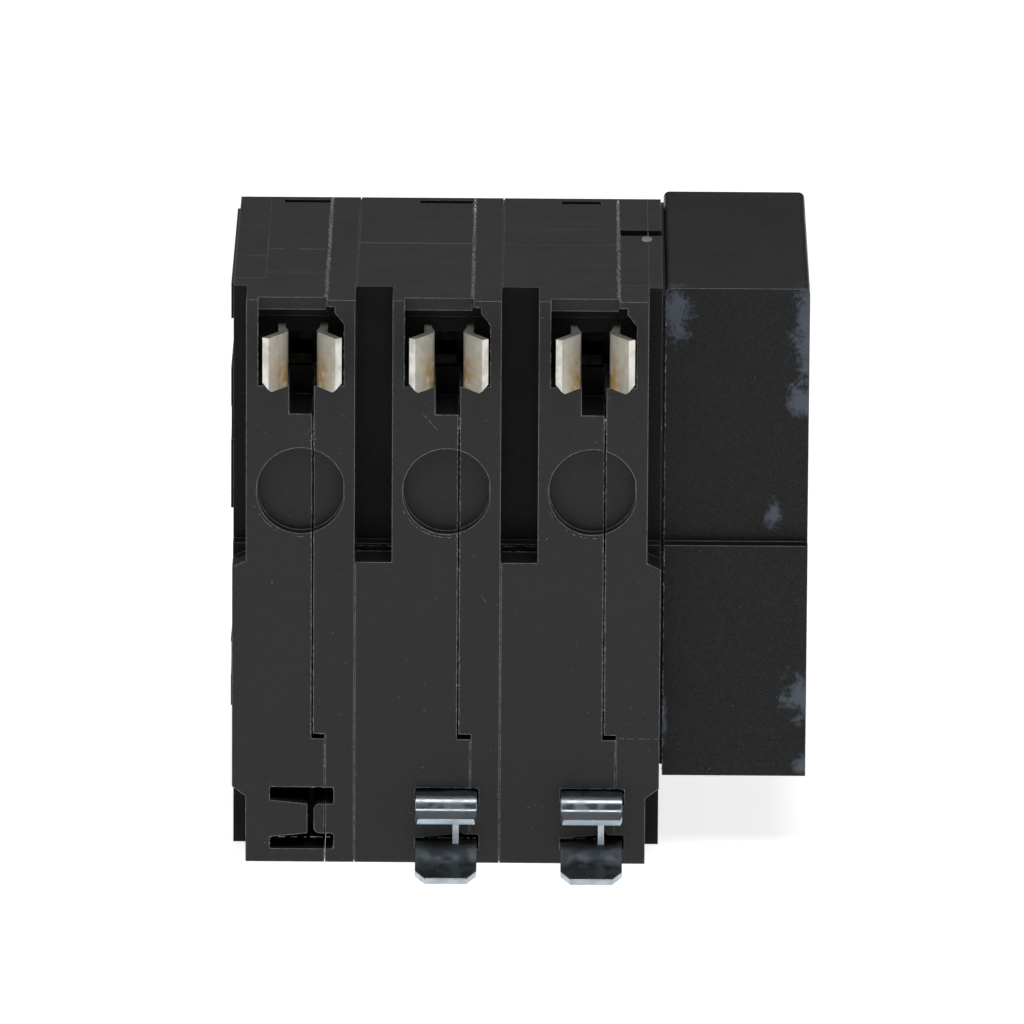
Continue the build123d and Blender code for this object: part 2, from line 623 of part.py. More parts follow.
def hook_flange(left, right, level, bends, radii, corner):
    """One flange: straight in its seat, bent outside it, with its two corners cut."""
    points = [(HOOK_TAIL, level)] + [(y, level - drop) for y, drop in bends]
    flange = bent_sheet(FilletPolyline(*points, radius=radii), HOOK_SHEET, left, right)
    across, along = corner
    end = bends[-1][0] - HOOK_SHEET
    for edge, inward in ((left, 1), (right, -1)):
        flange -= plan_plate(
            [(edge - inward, end), (edge + across * inward, end),
             (edge, end + HOOK_SHEET + along), (edge - inward, end + HOOK_SHEET + along)],
            level - FAR, level + FAR)
    return flange


def mounting_hook(centre):
    """Two curled flanges on a narrow web, pressed into the H-shaped seat."""
    left = centre + HOOK_LEFT
    right = centre + HOOK_RIGHT
    hook = hook_flange(left, right, HOOK_UPPER_Z, UPPER_BENDS, UPPER_RADII, UPPER_CORNER)
    hook += hook_flange(left, right, HOOK_LOWER_Z, LOWER_BENDS, LOWER_RADII, LOWER_CORNER)
    web_left = centre + HOOK_WEB_LEFT
    return hook + block(
        web_left, web_left + HOOK_SHEET, HOOK_WEB_FRONT, HOOK_TAIL, HOOK_LOWER_Z, HOOK_UPPER_Z)


# ================================================================ mechanism of one pole
def contact_arm(centre):
    """Copper blade, drawn closed and turned to the open rest position."""
    x0 = centre + MIDDLE - ARM_HALF
    x1 = centre + MIDDLE + ARM_HALF
    beam = side_plate(
        [(ARM_FACE, TIP_LOW - 0.8), (ARM_FACE, TIP_HIGH), (ARM_FACE + ARM_BEAM, TIP_HIGH),
         (ARM_Y + ARM_HUB * 0.9, ARM_Z + 0.6), (ARM_Y - ARM_HUB * 0.9, ARM_Z - 0.6)], x0, x1)
    arm = beam + rod_x(x0, x1, ARM_Y, ARM_Z, ARM_HUB)
    arm -= rod_x(x0 - 1, x1 + 1, ARM_Y, ARM_Z, PIN_RADIUS + PIN_RUNNING)
    return turned(arm, ARM_Y, ARM_Z, -ARM_SWING)


def moving_tip(centre):
    tip = block(
        centre - TIP_HALF, centre + TIP_HALF, MOVING_FACE, ARM_FACE, TIP_LOW, TIP_HIGH)
    return turned(tip, ARM_Y, ARM_Z, -ARM_SWING)


def handle(centre):
    """Handle with its drum, tab, inner leg and trunnions, turned to the off position."""
    x0 = centre + CAVITY_LEFT + SIDE_PLAY
    x1 = centre + CAVITY_RIGHT - SIDE_PLAY
    middle = centre + MIDDLE
    spread = radians(DRUM_SPREAD)
    edge_y = FAR * cos(spread)
    edge_z = FAR * sin(spread)
    sector = side_plate(
        [(HANDLE_Y, HANDLE_Z), (HANDLE_Y + edge_y, HANDLE_Z - edge_z),
         (HANDLE_Y + edge_y, HANDLE_Z + edge_z)], x0, x1)
    lever = rod_x(x0, x1, HANDLE_Y, HANDLE_Z, DRUM_RADIUS) & sector
    lever += rod_x(x0, x1, HANDLE_Y, HANDLE_Z, HANDLE_HUB)
    tab_end = HANDLE_Y + HANDLE_REACH - TIE_WALL - TIE_FIT
    lever += block(
        middle - TAB_HALF_WIDTH, middle + TAB_HALF_WIDTH, HANDLE_Y, tab_end,
        HANDLE_Z - TAB_THICK / 2, HANDLE_Z + TAB_THICK / 2)
    lever += block(
        middle - ARM_HALF, middle + ARM_HALF, HANDLE_Y - LEG_REACH, HANDLE_Y,
        HANDLE_Z - LEG_THICK / 2, HANDLE_Z + LEG_THICK / 2)
    lever += rod_x(
        centre + CAVITY_LEFT - LEFT_SEAT + 0.1, centre + CAVITY_RIGHT + RIGHT_SEAT - 0.1,
        HANDLE_Y, HANDLE_Z, TRUNNION)
    return turned(lever, HANDLE_Y, HANDLE_Z, -HANDLE_THROW / 2)


def handle_tie_bar():
    """One bar over the tips of all the handles."""
    half = TAB_HALF_WIDTH + TIE_FIT
    outer = HANDLE_Y + HANDLE_REACH
    bar = block(
        CENTRES[0] + MIDDLE - half - TIE_END, CENTRES[-1] + MIDDLE + half + TIE_END,
        outer - TIE_DEEP, outer, HANDLE_Z - TIE_THICK / 2, HANDLE_Z + TIE_THICK / 2)
    bar = fillet(bar.edges().filter_by(Axis.X), 1.2)
    for centre in CENTRES:
        middle = centre + MIDDLE
        bar -= block(
            middle - half, middle + half, outer - TIE_DEEP - 1, outer - TIE_WALL,
            HANDLE_Z - TAB_THICK / 2 - TIE_FIT, HANDLE_Z + TAB_THICK / 2 + TIE_FIT)
    return turned(bar, HANDLE_Y, HANDLE_Z, -HANDLE_THROW / 2)


def cradle(centre):
    """Trip lever that the armature holds at its nose."""
    x0 = centre + MIDDLE - ARM_HALF
    x1 = centre + MIDDLE + ARM_HALF
    lever = side_plate(
        [(LATCH_Y, LATCH_Z - 1.2), (LATCH_Y, LATCH_Z + 1.2),
         (CRADLE_Y - 1.5, CRADLE_Z + CRADLE_HUB * 0.85),
         (CRADLE_Y + 1.5, CRADLE_Z - CRADLE_HUB * 0.85)], x0, x1)
    lever += rod_x(x0, x1, CRADLE_Y, CRADLE_Z, CRADLE_HUB)
    return lever - rod_x(x0 - 1, x1 + 1, CRADLE_Y, CRADLE_Z, PIN_RADIUS + PIN_RUNNING)


def armature(centre):
    """Steel plate on two small pivots in front of the magnet, with a latch window."""
    middle = centre + MIDDLE
    plate = block(
        middle - ARMATURE_HALF, middle + ARMATURE_HALF, ARMATURE_Y,
        ARMATURE_Y + ARMATURE_THICK, ARMATURE_LOW, ARMATURE_PIVOT_Z)
    plate -= block(
        middle - ARM_HALF - 0.4, middle + ARM_HALF + 0.4, ARMATURE_Y - 1,
        ARMATURE_Y + ARMATURE_THICK + 1, LATCH_Z - 0.8, LATCH_Z + 2.4)
    plate += rod_x(
        centre + CAVITY_LEFT - LEFT_SEAT + 0.1, centre + CAVITY_RIGHT + RIGHT_SEAT - 0.1,
        ARMATURE_Y + ARMATURE_THICK / 2, ARMATURE_PIVOT_Z, ARMATURE_PIN)
    return plate


def bimetal(centre):
    middle = centre + MIDDLE
    return block(
        middle - BIMETAL_HALF, middle + BIMETAL_HALF, BIMETAL_Y, BIMETAL_Y + BIMETAL_THICK,
        STRAP_BOTTOM + STRAP_THICK, BIMETAL_TOP)


def magnet_yoke(centre):
    """U-shaped steel yoke around the bimetal."""
    middle = centre + MIDDLE
    half = ARMATURE_HALF + 0.6
    back = BACK_WALL + 0.2
    front = ARMATURE_Y - YOKE_AIR
    yoke = block(middle - half, middle + half, back, front, YOKE_LOW, YOKE_HIGH)
    return yoke - block(
        middle - half + YOKE_THICK, middle + half - YOKE_THICK, back + YOKE_THICK, front + 1,
        YOKE_LOW - 1, YOKE_HIGH + 1)


def load_strap(centre):
    """Copper strap from under the bimetal to the back of the lug."""
    middle = centre + MIDDLE
    top = STRAP_BOTTOM + STRAP_THICK
    strap = block(
        middle - 3.2, middle + 3.2, BACK_WALL + 0.4, LUG_BACK, STRAP_BOTTOM, top)
    return strap + block(
        middle - 3.2, middle + 3.2, LUG_BACK - STRAP_THICK, LUG_BACK,
        STRAP_BOTTOM, LUG_LOW + LUG_HEIGHT)


def load_lug(centre):
    """Box lug with a vertical wire bore and a threaded hole for its screw."""
    middle = centre + MIDDLE
    lug = block(
        middle - LUG_HALF, middle + LUG_HALF, LUG_BACK, LUG_FRONT, LUG_LOW,
        LUG_LOW + LUG_HEIGHT)
    lug -= rod_z(LUG_LOW - 1, LUG_LOW + LUG_HEIGHT + 1, middle, LUG_Y, LUG_BORE)
    return lug - rod_y(LUG_Y, LUG_FRONT + 1, middle, LUG_Z, SCREW_SHANK + SCREW_RUNNING)


def slotted_screw(x, z, tip, under_head, head_high, shank, head):
    """Slotted screw whose head faces +Y."""
    screw = rod_y(tip, under_head, x, z, shank)
    screw += rod_y(under_head, under_head + head_high, x, z, head)
    return screw - block(
        x - FAR, x + FAR, under_head + head_high - head / 4, under_head + head_high + 1,
        z - head / 8, z + head / 8)


def lug_screw(centre):
    tip = LUG_Y + LUG_BORE + 0.1
    return slotted_screw(
        centre + MIDDLE, LUG_Z, tip, HEAD_UNDER, SCREW_HEAD_HIGH, SCREW_SHANK, SCREW_HEAD)


def arc_plates(centre):
    """Steel plates above the contacts, each with a notch for the arc."""
    plates = []
    for step in range(ARC_PLATE_COUNT):
        y = ARC_PLATE_FIRST + step * ARC_PLATE_STEP
        plate = block(
            centre + CAVITY_LEFT, centre + CAVITY_RIGHT, y, y + ARC_PLATE, ARC_PLATE_LOW,
            CASE_HEIGHT - END_WALL)
        middle = centre + MIDDLE
        plate -= block(
            middle - ARC_NOTCH / 2, middle + ARC_NOTCH / 2, y - 1, y + ARC_PLATE + 1,
            ARC_PLATE_LOW - 1, ARC_PLATE_LOW + ARC_NOTCH)
        plates.append(plate)
    return group(plates)


def pivot_pins(centre):
    """Steel pins of the contact arm and the cradle."""
    left = centre + CAVITY_LEFT - LEFT_SEAT + 0.05
    right = centre + CAVITY_RIGHT + RIGHT_SEAT - 0.05
    return group([
        rod_x(left, right, ARM_Y, ARM_Z, PIN_RADIUS),
        rod_x(left, right, CRADLE_Y, CRADLE_Z, PIN_RADIUS),
    ])


def flexible_braid(centre):
    """Copper braid from the bimetal's top over the armature to the contact arm."""
    start_y = BIMETAL_Y + BIMETAL_THICK / 2
    points = [
        (centre + MIDDLE, start_y, BIMETAL_TOP), (centre + MIDDLE, start_y, BIMETAL_TOP + 4.6),
        (centre + MIDDLE, start_y + 3.6, BIMETAL_TOP + 7.0),
        (centre + MIDDLE, ARM_Y - ARM_HUB - BRAID_RADIUS * 0.6, ARM_Z + 1.2),
    ]
    path = FilletPolyline(*points, radius=[1.6, 1.6])
    return sweep(Plane(origin=path @ 0, z_dir=path % 0) * Circle(BRAID_RADIUS), path=path)


def coil_spring(radius, wire, pitch, length):
    helix = Helix(pitch=pitch, height=length, radius=radius)
    section = Plane(origin=helix @ 0, z_dir=helix % 0) * Circle(wire)
    return sweep(section, path=helix, is_frenet=True)


def toggle_spring(centre):
    """Extension spring between the contact arm and the handle's inner leg."""
    off = radians(-HANDLE_THROW / 2)
    start = Vector(0, ARM_Y + 2.4, ARM_Z + 9.6)
    end = Vector(0, HANDLE_Y - LEG_REACH * cos(off), HANDLE_Z - LEG_REACH * sin(off))
    along = (end - start).normalized()
    length = (end - start).length - LEG_THICK / 2 - 2 * SPRING_SLACK
    origin = start + along * SPRING_SLACK + Vector(centre + MIDDLE, 0, 0)
    spring = coil_spring(SPRING_RADIUS, SPRING_WIRE, SPRING_PITCH, length)
    return Plane(origin=origin, x_dir=(1, 0, 0), z_dir=along).location * spring


def trip_flag(centre):
    """Two-colour flag behind the window."""
    middle = centre + MIDDLE
    return block(
        middle - FLAG_HALF, middle + FLAG_HALF, FLAG_FRONT - FLAG_THICK, FLAG_FRONT,
        FLAG_LOW, FLAG_HIGH)


def flag_window(centre):
    middle = centre + MIDDLE
    return block(
        middle - WINDOW_HALF, middle + WINDOW_HALF, NOSE_INSIDE, NOSE_DEPTH - 0.2,
        WINDOW_LOW, WINDOW_HIGH)


# ================================================================ pieces shared by the poles
def trip_bar():
    """Common trip bar: a shaft with a paddle in each pole and a crank in the module."""
    bar = rod_x(
        -HALF_BLOCK + TRIP_BAR_WALL + 0.3, COIL_X + CRANK_HALF, TRIP_BAR_Y, TRIP_BAR_Z,
        TRIP_BAR_RADIUS)
    for centre in CENTRES:
        lane = centre + MIDDLE + ARM_HALF + 0.8
        bar += side_plate(
            [(PADDLE_TIP_Y, PADDLE_TIP_Z), (PADDLE_TIP_Y + 1.2, PADDLE_TIP_Z),
             (TRIP_BAR_Y + 1.6, TRIP_BAR_Z + 0.8), (TRIP_BAR_Y - 1.6, TRIP_BAR_Z - 1.0),
             (PADDLE_TIP_Y, PADDLE_TIP_Z - 2.4)], lane, lane + 1.8)
    crank_left = COIL_X - CRANK_HALF
    crank_right = COIL_X + CRANK_HALF
    tip_y = TRIP_BAR_Y + CRANK_REACH
    bar += block(
        crank_left, crank_right, TRIP_BAR_Y, tip_y, TRIP_BAR_Z - CRANK_TIP,
        TRIP_BAR_Z + CRANK_TIP)
    return bar + rod_x(crank_left, crank_right, tip_y, TRIP_BAR_Z, CRANK_TIP)


def case_rivet(y, z):
    left = -HALF_BLOCK
    right = MODULE_RIGHT
    rivet = rod_x(left, right, y, z, RIVET_RADIUS)
    rivet += rod_x(left, left + RIVET_HEAD_DEEP, y, z, RIVET_HEAD)
    return rivet + rod_x(right - RIVET_HEAD_DEEP, right, y, z, RIVET_HEAD)


# ================================================================ shunt-trip module
def module_outline(inset):
    """Side view of the module: its lower back stands out like the poles' ledges."""
    upper_back = SLOT_DEPTH + inset
    lower_back = LEDGE_DEPTH + inset
    low = MODULE_LOW + inset
    high = CASE_HEIGHT - inset
    shoulder = MODULE_SHOULDER - inset
    nose = NOSE_DEPTH - inset
    return [
        (lower_back, low), (shoulder, low), (shoulder, NOSE_LOW + inset),
        (nose, NOSE_LOW + NOSE_DRAFT + inset), (nose, NOSE_HIGH - NOSE_DRAFT - inset),
        (shoulder, NOSE_HIGH - inset), (shoulder, high), (upper_back, high),
        (upper_back, LEDGE_TOP - inset), (lower_back, LEDGE_TOP - inset),
    ]


def module_cover():
    """Outer shell, open towards the poles."""
    shell = side_plate(module_outline(0), MODULE_LEFT, MODULE_RIGHT)
    line_edges = shell.edges().filter_by(Axis.Y).group_by(Axis.Z)[-1]
    shell = fillet(line_edges, MODULE_CORNER)
    inside_right = MODULE_RIGHT - MODULE_WALL
    shell -= side_plate(module_outline(MODULE_WALL), MODULE_LEFT - 1, inside_right)
    plate_room = PLATE_INSET - PLATE_AIR
    shell -= side_plate(
        module_outline(plate_room), MODULE_LEFT - 1, HALF_BLOCK + PLATE_AIR + PLATE_THICK + 0.05)
    for x in CLAMP_XS:
        shell -= rod_z(MODULE_LOW - 1, CLAMP_Z[0], x, CLAMP_Y, CLAMP_BORE + CLAMP_AIR)
        shell -= rod_y(
            MODULE_SHOULDER - MODULE_WALL - 1, MODULE_SHOULDER + 1, x,
            (CLAMP_Z[0] + CLAMP_Z[1]) / 2, CLAMP_HEAD + CLAMP_AIR)
    return shell - rivet_bores()


def module_base():
    """Side plate that closes the shell against the poles."""
    left = HALF_BLOCK + PLATE_AIR
    plate = side_plate(module_outline(PLATE_INSET), left, left + PLATE_THICK)
    return plate - trip_bar_bore() - rivet_bores()


def coil_bobbin():
    flange = COIL_RADIUS
    bobbin = rod_z(COIL_LOW, COIL_HIGH, COIL_X, COIL_Y, BOBBIN_BORE + BOBBIN_WALL)
    bobbin += rod_z(COIL_LOW, COIL_LOW + BOBBIN_WALL, COIL_X, COIL_Y, flange)
    bobbin += rod_z(COIL_HIGH - BOBBIN_WALL, COIL_HIGH, COIL_X, COIL_Y, flange)
    return bobbin - rod_z(COIL_LOW - 1, COIL_HIGH + 1, COIL_X, COIL_Y, BOBBIN_BORE)


def coil_winding():
    low = COIL_LOW + BOBBIN_WALL
    high = COIL_HIGH - BOBBIN_WALL
    winding = rod_z(low, high, COIL_X, COIL_Y, COIL_RADIUS - 0.5)
    return winding - rod_z(low - 1, high + 1, COIL_X, COIL_Y, BOBBIN_BORE + BOBBIN_WALL)


def solenoid_frame():
    """Bent steel frame around the coil, with the fixed core at its top."""
    half = COIL_RADIUS + 0.4
    depth = COIL_RADIUS + 0.2
    low = COIL_LOW - FRAME_PLATE
    high = COIL_HIGH + FRAME_PLATE
    frame = block(
        COIL_X - depth, COIL_X + depth, COIL_Y - half - FRAME_PLATE, COIL_Y + half + FRAME_PLATE,
        low, high)
    frame -= block(
        COIL_X - FAR, COIL_X + FAR, COIL_Y - half, COIL_Y + half, COIL_LOW, COIL_HIGH)
    frame -= rod_z(low - 1, COIL_LOW + 1, COIL_X, COIL_Y, BOBBIN_BORE)
    core_low = PLUNGER_TOP + PLUNGER_LIFT + CORE_AIR
    return frame + rod_z(core_low, COIL_HIGH + 0.5, COIL_X, COIL_Y, PLUNGER_RADIUS)


def plunger():
    """Plunger with a clevis over the trip bar's crank and a tab under the switch button."""
    collar = TRIP_BAR_Z + 4.4
    core = rod_z(collar, PLUNGER_TOP, COIL_X, COIL_Y, PLUNGER_RADIUS)
    half = CRANK_HALF + CLEVIS_AIR + 1.0
    low = TRIP_BAR_Z - CRANK_TIP - CLEVIS_AIR - 1.0
    head = block(
        COIL_X - half, COIL_X + half, COIL_Y - CLEVIS_DEEP, COIL_Y + CLEVIS_DEEP, low, collar + 0.6)
    room = CRANK_TIP + CLEVIS_AIR
    head -= block(
        COIL_X - half - 1, COIL_X + half + 1, COIL_Y - 3, COIL_Y + 3, TRIP_BAR_Z - room,
        TRIP_BAR_Z + room)
    post = block(
        COIL_X - half, COIL_X - half + 0.9, COIL_Y - CLEVIS_DEEP, COIL_Y + CLEVIS_DEEP, low,
        collar)
    tab = block(
        COIL_X - 2.0, COIL_X + 2.0, COIL_Y, TAB_FRONT, TAB_TOP - 1.4, TAB_TOP)
    return core + head + post + tab


def plunger_spring():
    low = TAB_TOP + 0.35
    high = COIL_LOW - FRAME_PLATE - 0.35
    spring = coil_spring(PLUNGER_RADIUS + 0.8, SPRING_WIRE, 0.85, high - low)
    return Pos(COIL_X, COIL_Y, low) * spring


def cutoff_switch():
    body = block(
        COIL_X - SWITCH_HALF, COIL_X + SWITCH_HALF, SWITCH_Y[0], SWITCH_Y[1], SWITCH_Z[0],
        SWITCH_Z[1])
    return body - rod_z(
        SWITCH_Z[0] - 1, SWITCH_Z[0] + 8.0, COIL_X, BUTTON_Y, BUTTON_RADIUS + PIN_RUNNING)


def switch_button():
    return rod_z(TAB_TOP + 0.3, SWITCH_Z[0] + 4.0, COIL_X, BUTTON_Y, BUTTON_RADIUS)


def terminal_clamp(x):
    front = CLAMP_Y + CLAMP_BORE + 3.6
    middle_z = (CLAMP_Z[0] + CLAMP_Z[1]) / 2
    clamp = block(
        x - CLAMP_HALF, x + CLAMP_HALF, CLAMP_Y - CLAMP_BORE - 1.4, front, CLAMP_Z[0],
        CLAMP_Z[1])
    clamp -= rod_z(CLAMP_Z[0] - 1, CLAMP_Z[1] + 1, x, CLAMP_Y, CLAMP_BORE)
    return clamp - rod_y(CLAMP_Y, front + 1, x, middle_z, CLAMP_SCREW + SCREW_RUNNING)


def terminal_screw(x):
    front = CLAMP_Y + CLAMP_BORE + 3.6
    middle_z = (CLAMP_Z[0] + CLAMP_Z[1]) / 2
    return slotted_screw(
        x, middle_z, CLAMP_Y + CLAMP_BORE + 0.2, front + CLAMP_TRAVEL + 0.3, 1.6, CLAMP_SCREW,
        CLAMP_HEAD)


# ================================================================ the whole set
def build_nodes():
    """Every piece by name."""
    nodes = {}
    for index, centre in enumerate(CENTRES):
        pole = f"pole_{index + 1}_"
        nodes[pole + "base"], nodes[pole + "cover"] = pole_halves(index)
        nodes[pole + "line_jaw"] = line_jaw(centre)
        nodes[pole + "contact_arm"] = contact_arm(centre)
        nodes[pole + "moving_tip"] = moving_tip(centre)
        nodes[pole + "handle"] = handle(centre)
        nodes[pole + "toggle_spring"] = toggle_spring(centre)
        nodes[pole + "cradle"] = cradle(centre)
        nodes[pole + "armature"] = armature(centre)
        nodes[pole + "trip_flag"] = trip_flag(centre)
        nodes[pole + "load_lug"] = load_lug(centre)
        nodes[pole + "lug_screw"] = lug_screw(centre)
    for number in HOOK_POLES:
        nodes[f"mounting_hook_{number}"] = mounting_hook(CENTRES[number - 1])
    repeated = {
        "fixed_contact_tips": fixed_tip, "bimetals": bimetal, "magnet_yokes": magnet_yoke,
        "load_straps": load_strap, "flexible_braids": flexible_braid, "arc_plates": arc_plates,
        "flag_windows": flag_window, "pivot_pins": pivot_pins,
    }
    for name, make in repeated.items():
        nodes[name] = group([make(centre) for centre in CENTRES])
    nodes["handle_tie_bar"] = handle_tie_bar()
    nodes["trip_bar"] = trip_bar()
    nodes["case_rivets"] = group([case_rivet(y, z) for y, z in RIVETS])
    nodes["module_cover"] = module_cover()
    nodes["module_base"] = module_base()
    nodes["coil_bobbin"] = coil_bobbin()
    nodes["coil_winding"] = coil_winding()
    nodes["solenoid_frame"] = solenoid_frame()
    nodes["plunger"] = plunger()
    nodes["plunger_spring"] = plunger_spring()
    nodes["cutoff_switch"] = cutoff_switch()
    nodes["switch_button"] = switch_button()
    nodes["terminal_clamps"] = group([terminal_clamp(x) for x in CLAMP_XS])
    nodes["terminal_screws"] = group([terminal_screw(x) for x in CLAMP_XS])
    return nodes


nodes = build_nodes()
whole = Compound(children=[part for node in nodes.values() for part in node.solids()])
size = whole.bounding_box()
shift = Vector(-(size.min.X + size.max.X) / 2, -(size.min.Y + size.max.Y) / 2, -size.min.Z)
print("nodes", len(nodes), "size", size.size, "shift", shift)

os.makedirs("parts", exist_ok=True)
for name, node in nodes.items():
    export_step(group([Pos(*shift) * node]), f"parts/{name}.step")
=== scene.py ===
# %% [markdown]
# # A three-pole circuit breaker with a shunt-trip module
# The breaker stands on its load end, with its mounting side to the viewer: spring jaws
# high up, rail hooks low down, and the side module on the right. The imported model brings
# every piece as a fixed frame. This lesson adds what a mould, a press and years in a panel
# leave on such a thing: grain, burrs along the seams, insert lines, scuffs, dust, wear.

# %% Load the frame and note its box
import bpy
import bmesh
import json
import math
import random
from mathutils import Matrix, Vector


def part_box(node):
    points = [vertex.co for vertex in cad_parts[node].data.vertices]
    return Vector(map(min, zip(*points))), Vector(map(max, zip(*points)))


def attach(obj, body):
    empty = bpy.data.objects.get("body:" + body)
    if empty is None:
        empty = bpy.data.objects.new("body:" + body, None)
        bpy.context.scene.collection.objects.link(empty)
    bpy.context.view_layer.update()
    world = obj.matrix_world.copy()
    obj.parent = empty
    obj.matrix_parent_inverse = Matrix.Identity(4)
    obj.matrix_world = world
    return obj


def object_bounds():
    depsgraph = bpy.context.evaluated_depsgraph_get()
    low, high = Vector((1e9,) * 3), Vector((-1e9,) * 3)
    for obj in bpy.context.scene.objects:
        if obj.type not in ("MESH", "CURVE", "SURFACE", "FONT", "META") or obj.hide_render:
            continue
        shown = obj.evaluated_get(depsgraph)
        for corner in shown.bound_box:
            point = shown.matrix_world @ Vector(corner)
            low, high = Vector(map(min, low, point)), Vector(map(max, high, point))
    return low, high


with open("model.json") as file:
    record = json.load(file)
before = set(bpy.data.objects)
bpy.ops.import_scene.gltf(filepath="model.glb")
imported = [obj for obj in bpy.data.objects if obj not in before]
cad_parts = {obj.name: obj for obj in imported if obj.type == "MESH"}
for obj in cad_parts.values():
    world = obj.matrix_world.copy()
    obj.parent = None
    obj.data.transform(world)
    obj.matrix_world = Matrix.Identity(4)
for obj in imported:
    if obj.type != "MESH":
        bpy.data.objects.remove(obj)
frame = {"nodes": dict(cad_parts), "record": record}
cad_low, cad_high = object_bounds()
MM = 0.001
print("nodes", len(frame["nodes"]), "box in mm", [round(v / MM, 2) for v in cad_high - cad_low])

# %% [markdown]
# ## Places on the case
# Every added piece is placed from the case itself. The middle pole's base gives the back
# face and the load end, the tongue of its cover gives the middle of the three poles, and
# distances from there are written in millimetres, as on a drawing of the breaker.

# %% A drawing's coordinates
TONGUE_FROM_MIDDLE = 1.7      # the cover's tongue starts this far right of the middle
PITCH = 19.05                 # pole to pole
POLES = (1, 2, 3)
CENTRES = [PITCH * (pole - 2) for pole in POLES]
MODULE_BACK_HIGH = 7.6        # depth of the upper part of the module's back
MODULE_BACK_LOW = 5.4         # depth of its lower part
base_low, base_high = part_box("pole_2_base")
cover_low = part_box("pole_2_cover")[0]
ORIGIN = Vector((cover_low.x - TONGUE_FROM_MIDDLE * MM, base_low.y, base_low.z))
CASE_HIGH = (base_high.z - base_low.z) / MM


def place(x, y, z):
    """Millimetres right of the middle, in from the back face and up from the load end."""
    return ORIGIN + Vector((x, y, z)) * MM


print("case height", round(CASE_HIGH, 2), "origin", [round(v, 5) for v in ORIGIN])

# %% [markdown]
# ## Camera, floor and light
# A long lens two metres away, a little above the breaker, keeps its edges almost parallel.
# Black plastic shows mostly what it mirrors.
# The floor is therefore pale and evenly lit, and the room behind it stays dim.

# %% Camera
AIM = place(8.52, 0.0, 47.71)
DISTANCE = 1.970
PITCH_DOWN = math.radians(15.0)
YAW = math.radians(-0.1349)
ROLL = math.radians(0.3522)
LENS_MM = 530.9


def camera_axes():
    forward = Vector((
        math.sin(YAW) * math.cos(PITCH_DOWN), math.cos(YAW) * math.cos(PITCH_DOWN),
        -math.sin(PITCH_DOWN)))
    right = forward.cross(Vector((0, 0, 1))).normalized()
    up = right.cross(forward)
    turned_right = math.cos(ROLL) * right + math.sin(ROLL) * up
    turned_up = -math.sin(ROLL) * right + math.cos(ROLL) * up
    return turned_right, turned_up, forward


right, up, forward = camera_axes()
camera = bpy.data.objects.new("camera", bpy.data.cameras.new("camera"))
bpy.context.scene.collection.objects.link(camera)
camera.matrix_world = Matrix.Translation(AIM - forward * DISTANCE) @ Matrix(
    (right, up, -forward)).transposed().to_4x4()
camera.data.lens = LENS_MM
camera.data.clip_start = 0.05
camera.data.clip_end = 20
bpy.context.scene.camera = camera
bpy.context.scene.view_settings.view_transform = "Standard"
print("camera at", [round(v, 4) for v in camera.matrix_world.translation])

# %% [markdown]
# Node trees are long when every node and link is spelled out. One helper adds a node,
# sets its options and fills its inputs, each with a number or with another node's output.

# %% Helpers for node trees
def add(tree, kind, inputs=None, **options):
    """One shader node; an input is a value or the socket that feeds it."""
    node = tree.nodes.new("ShaderNode" + kind)
    for option, value in options.items():
        setattr(node, option, value)
    for name, value in (inputs or {}).items():
        if isinstance(value, bpy.types.NodeSocket):
            tree.links.new(value, node.inputs[name])
        else:
            node.inputs[name].default_value = value
    return node


def calc(tree, operation, a, b=0.0, clamp=False):
    """The result of one Math node."""
    return add(tree, "Math", {0: a, 1: b}, operation=operation, use_clamp=clamp).outputs[0]


def ramp(tree, value, low, high, start=0.0, end=1.0):
    """A smooth step from start to end while value goes from low to high."""
    node = add(tree, "MapRange", {
        "Value": value, "From Min": low, "From Max": high, "To Min": start, "To Max": end},
        interpolation_type="SMOOTHSTEP")
    return node.outputs["Result"]


def mixed(tree, factor, first, second):
    """A colour between two colours."""
    node = add(tree, "Mix", {"Factor": factor}, data_type="RGBA")
    for slot, value in ((6, first), (7, second)):
        if isinstance(value, bpy.types.NodeSocket):
            tree.links.new(value, node.inputs[slot])
        else:
            node.inputs[slot].default_value = (*value[:3], 1.0)
    return node.outputs[2]


def effect_group(name, inputs, outputs):
    """An empty node group with named inputs and outputs."""
    tree = bpy.data.node_groups.new(name, "ShaderNodeTree")
    for label, kind, value in inputs:
        socket = tree.interface.new_socket(label, in_out="INPUT", socket_type=kind)
        socket.default_value = value
    for label, kind in outputs:
        tree.interface.new_socket(label, in_out="OUTPUT", socket_type=kind)
    start = tree.nodes.new("NodeGroupInput")
    end = tree.nodes.new("NodeGroupOutput")
    return tree, start.outputs, end.inputs


def use(tree, group, **inputs):
    """Places an effect in a material; underscores in the input names stand for spaces."""
    node = tree.nodes.new("ShaderNodeGroup")
    node.node_tree = group
    for name, value in inputs.items():
        socket = node.inputs[name.replace("_", " ")]
        if isinstance(value, bpy.types.NodeSocket):
            tree.links.new(value, socket)
        else:
            socket.default_value = value
    return node.outputs


NUMBER, VECTOR = "NodeSocketFloat", "NodeSocketVector"
print("node helpers ready")

# %% Floor
FLOOR_HALF = 3.0


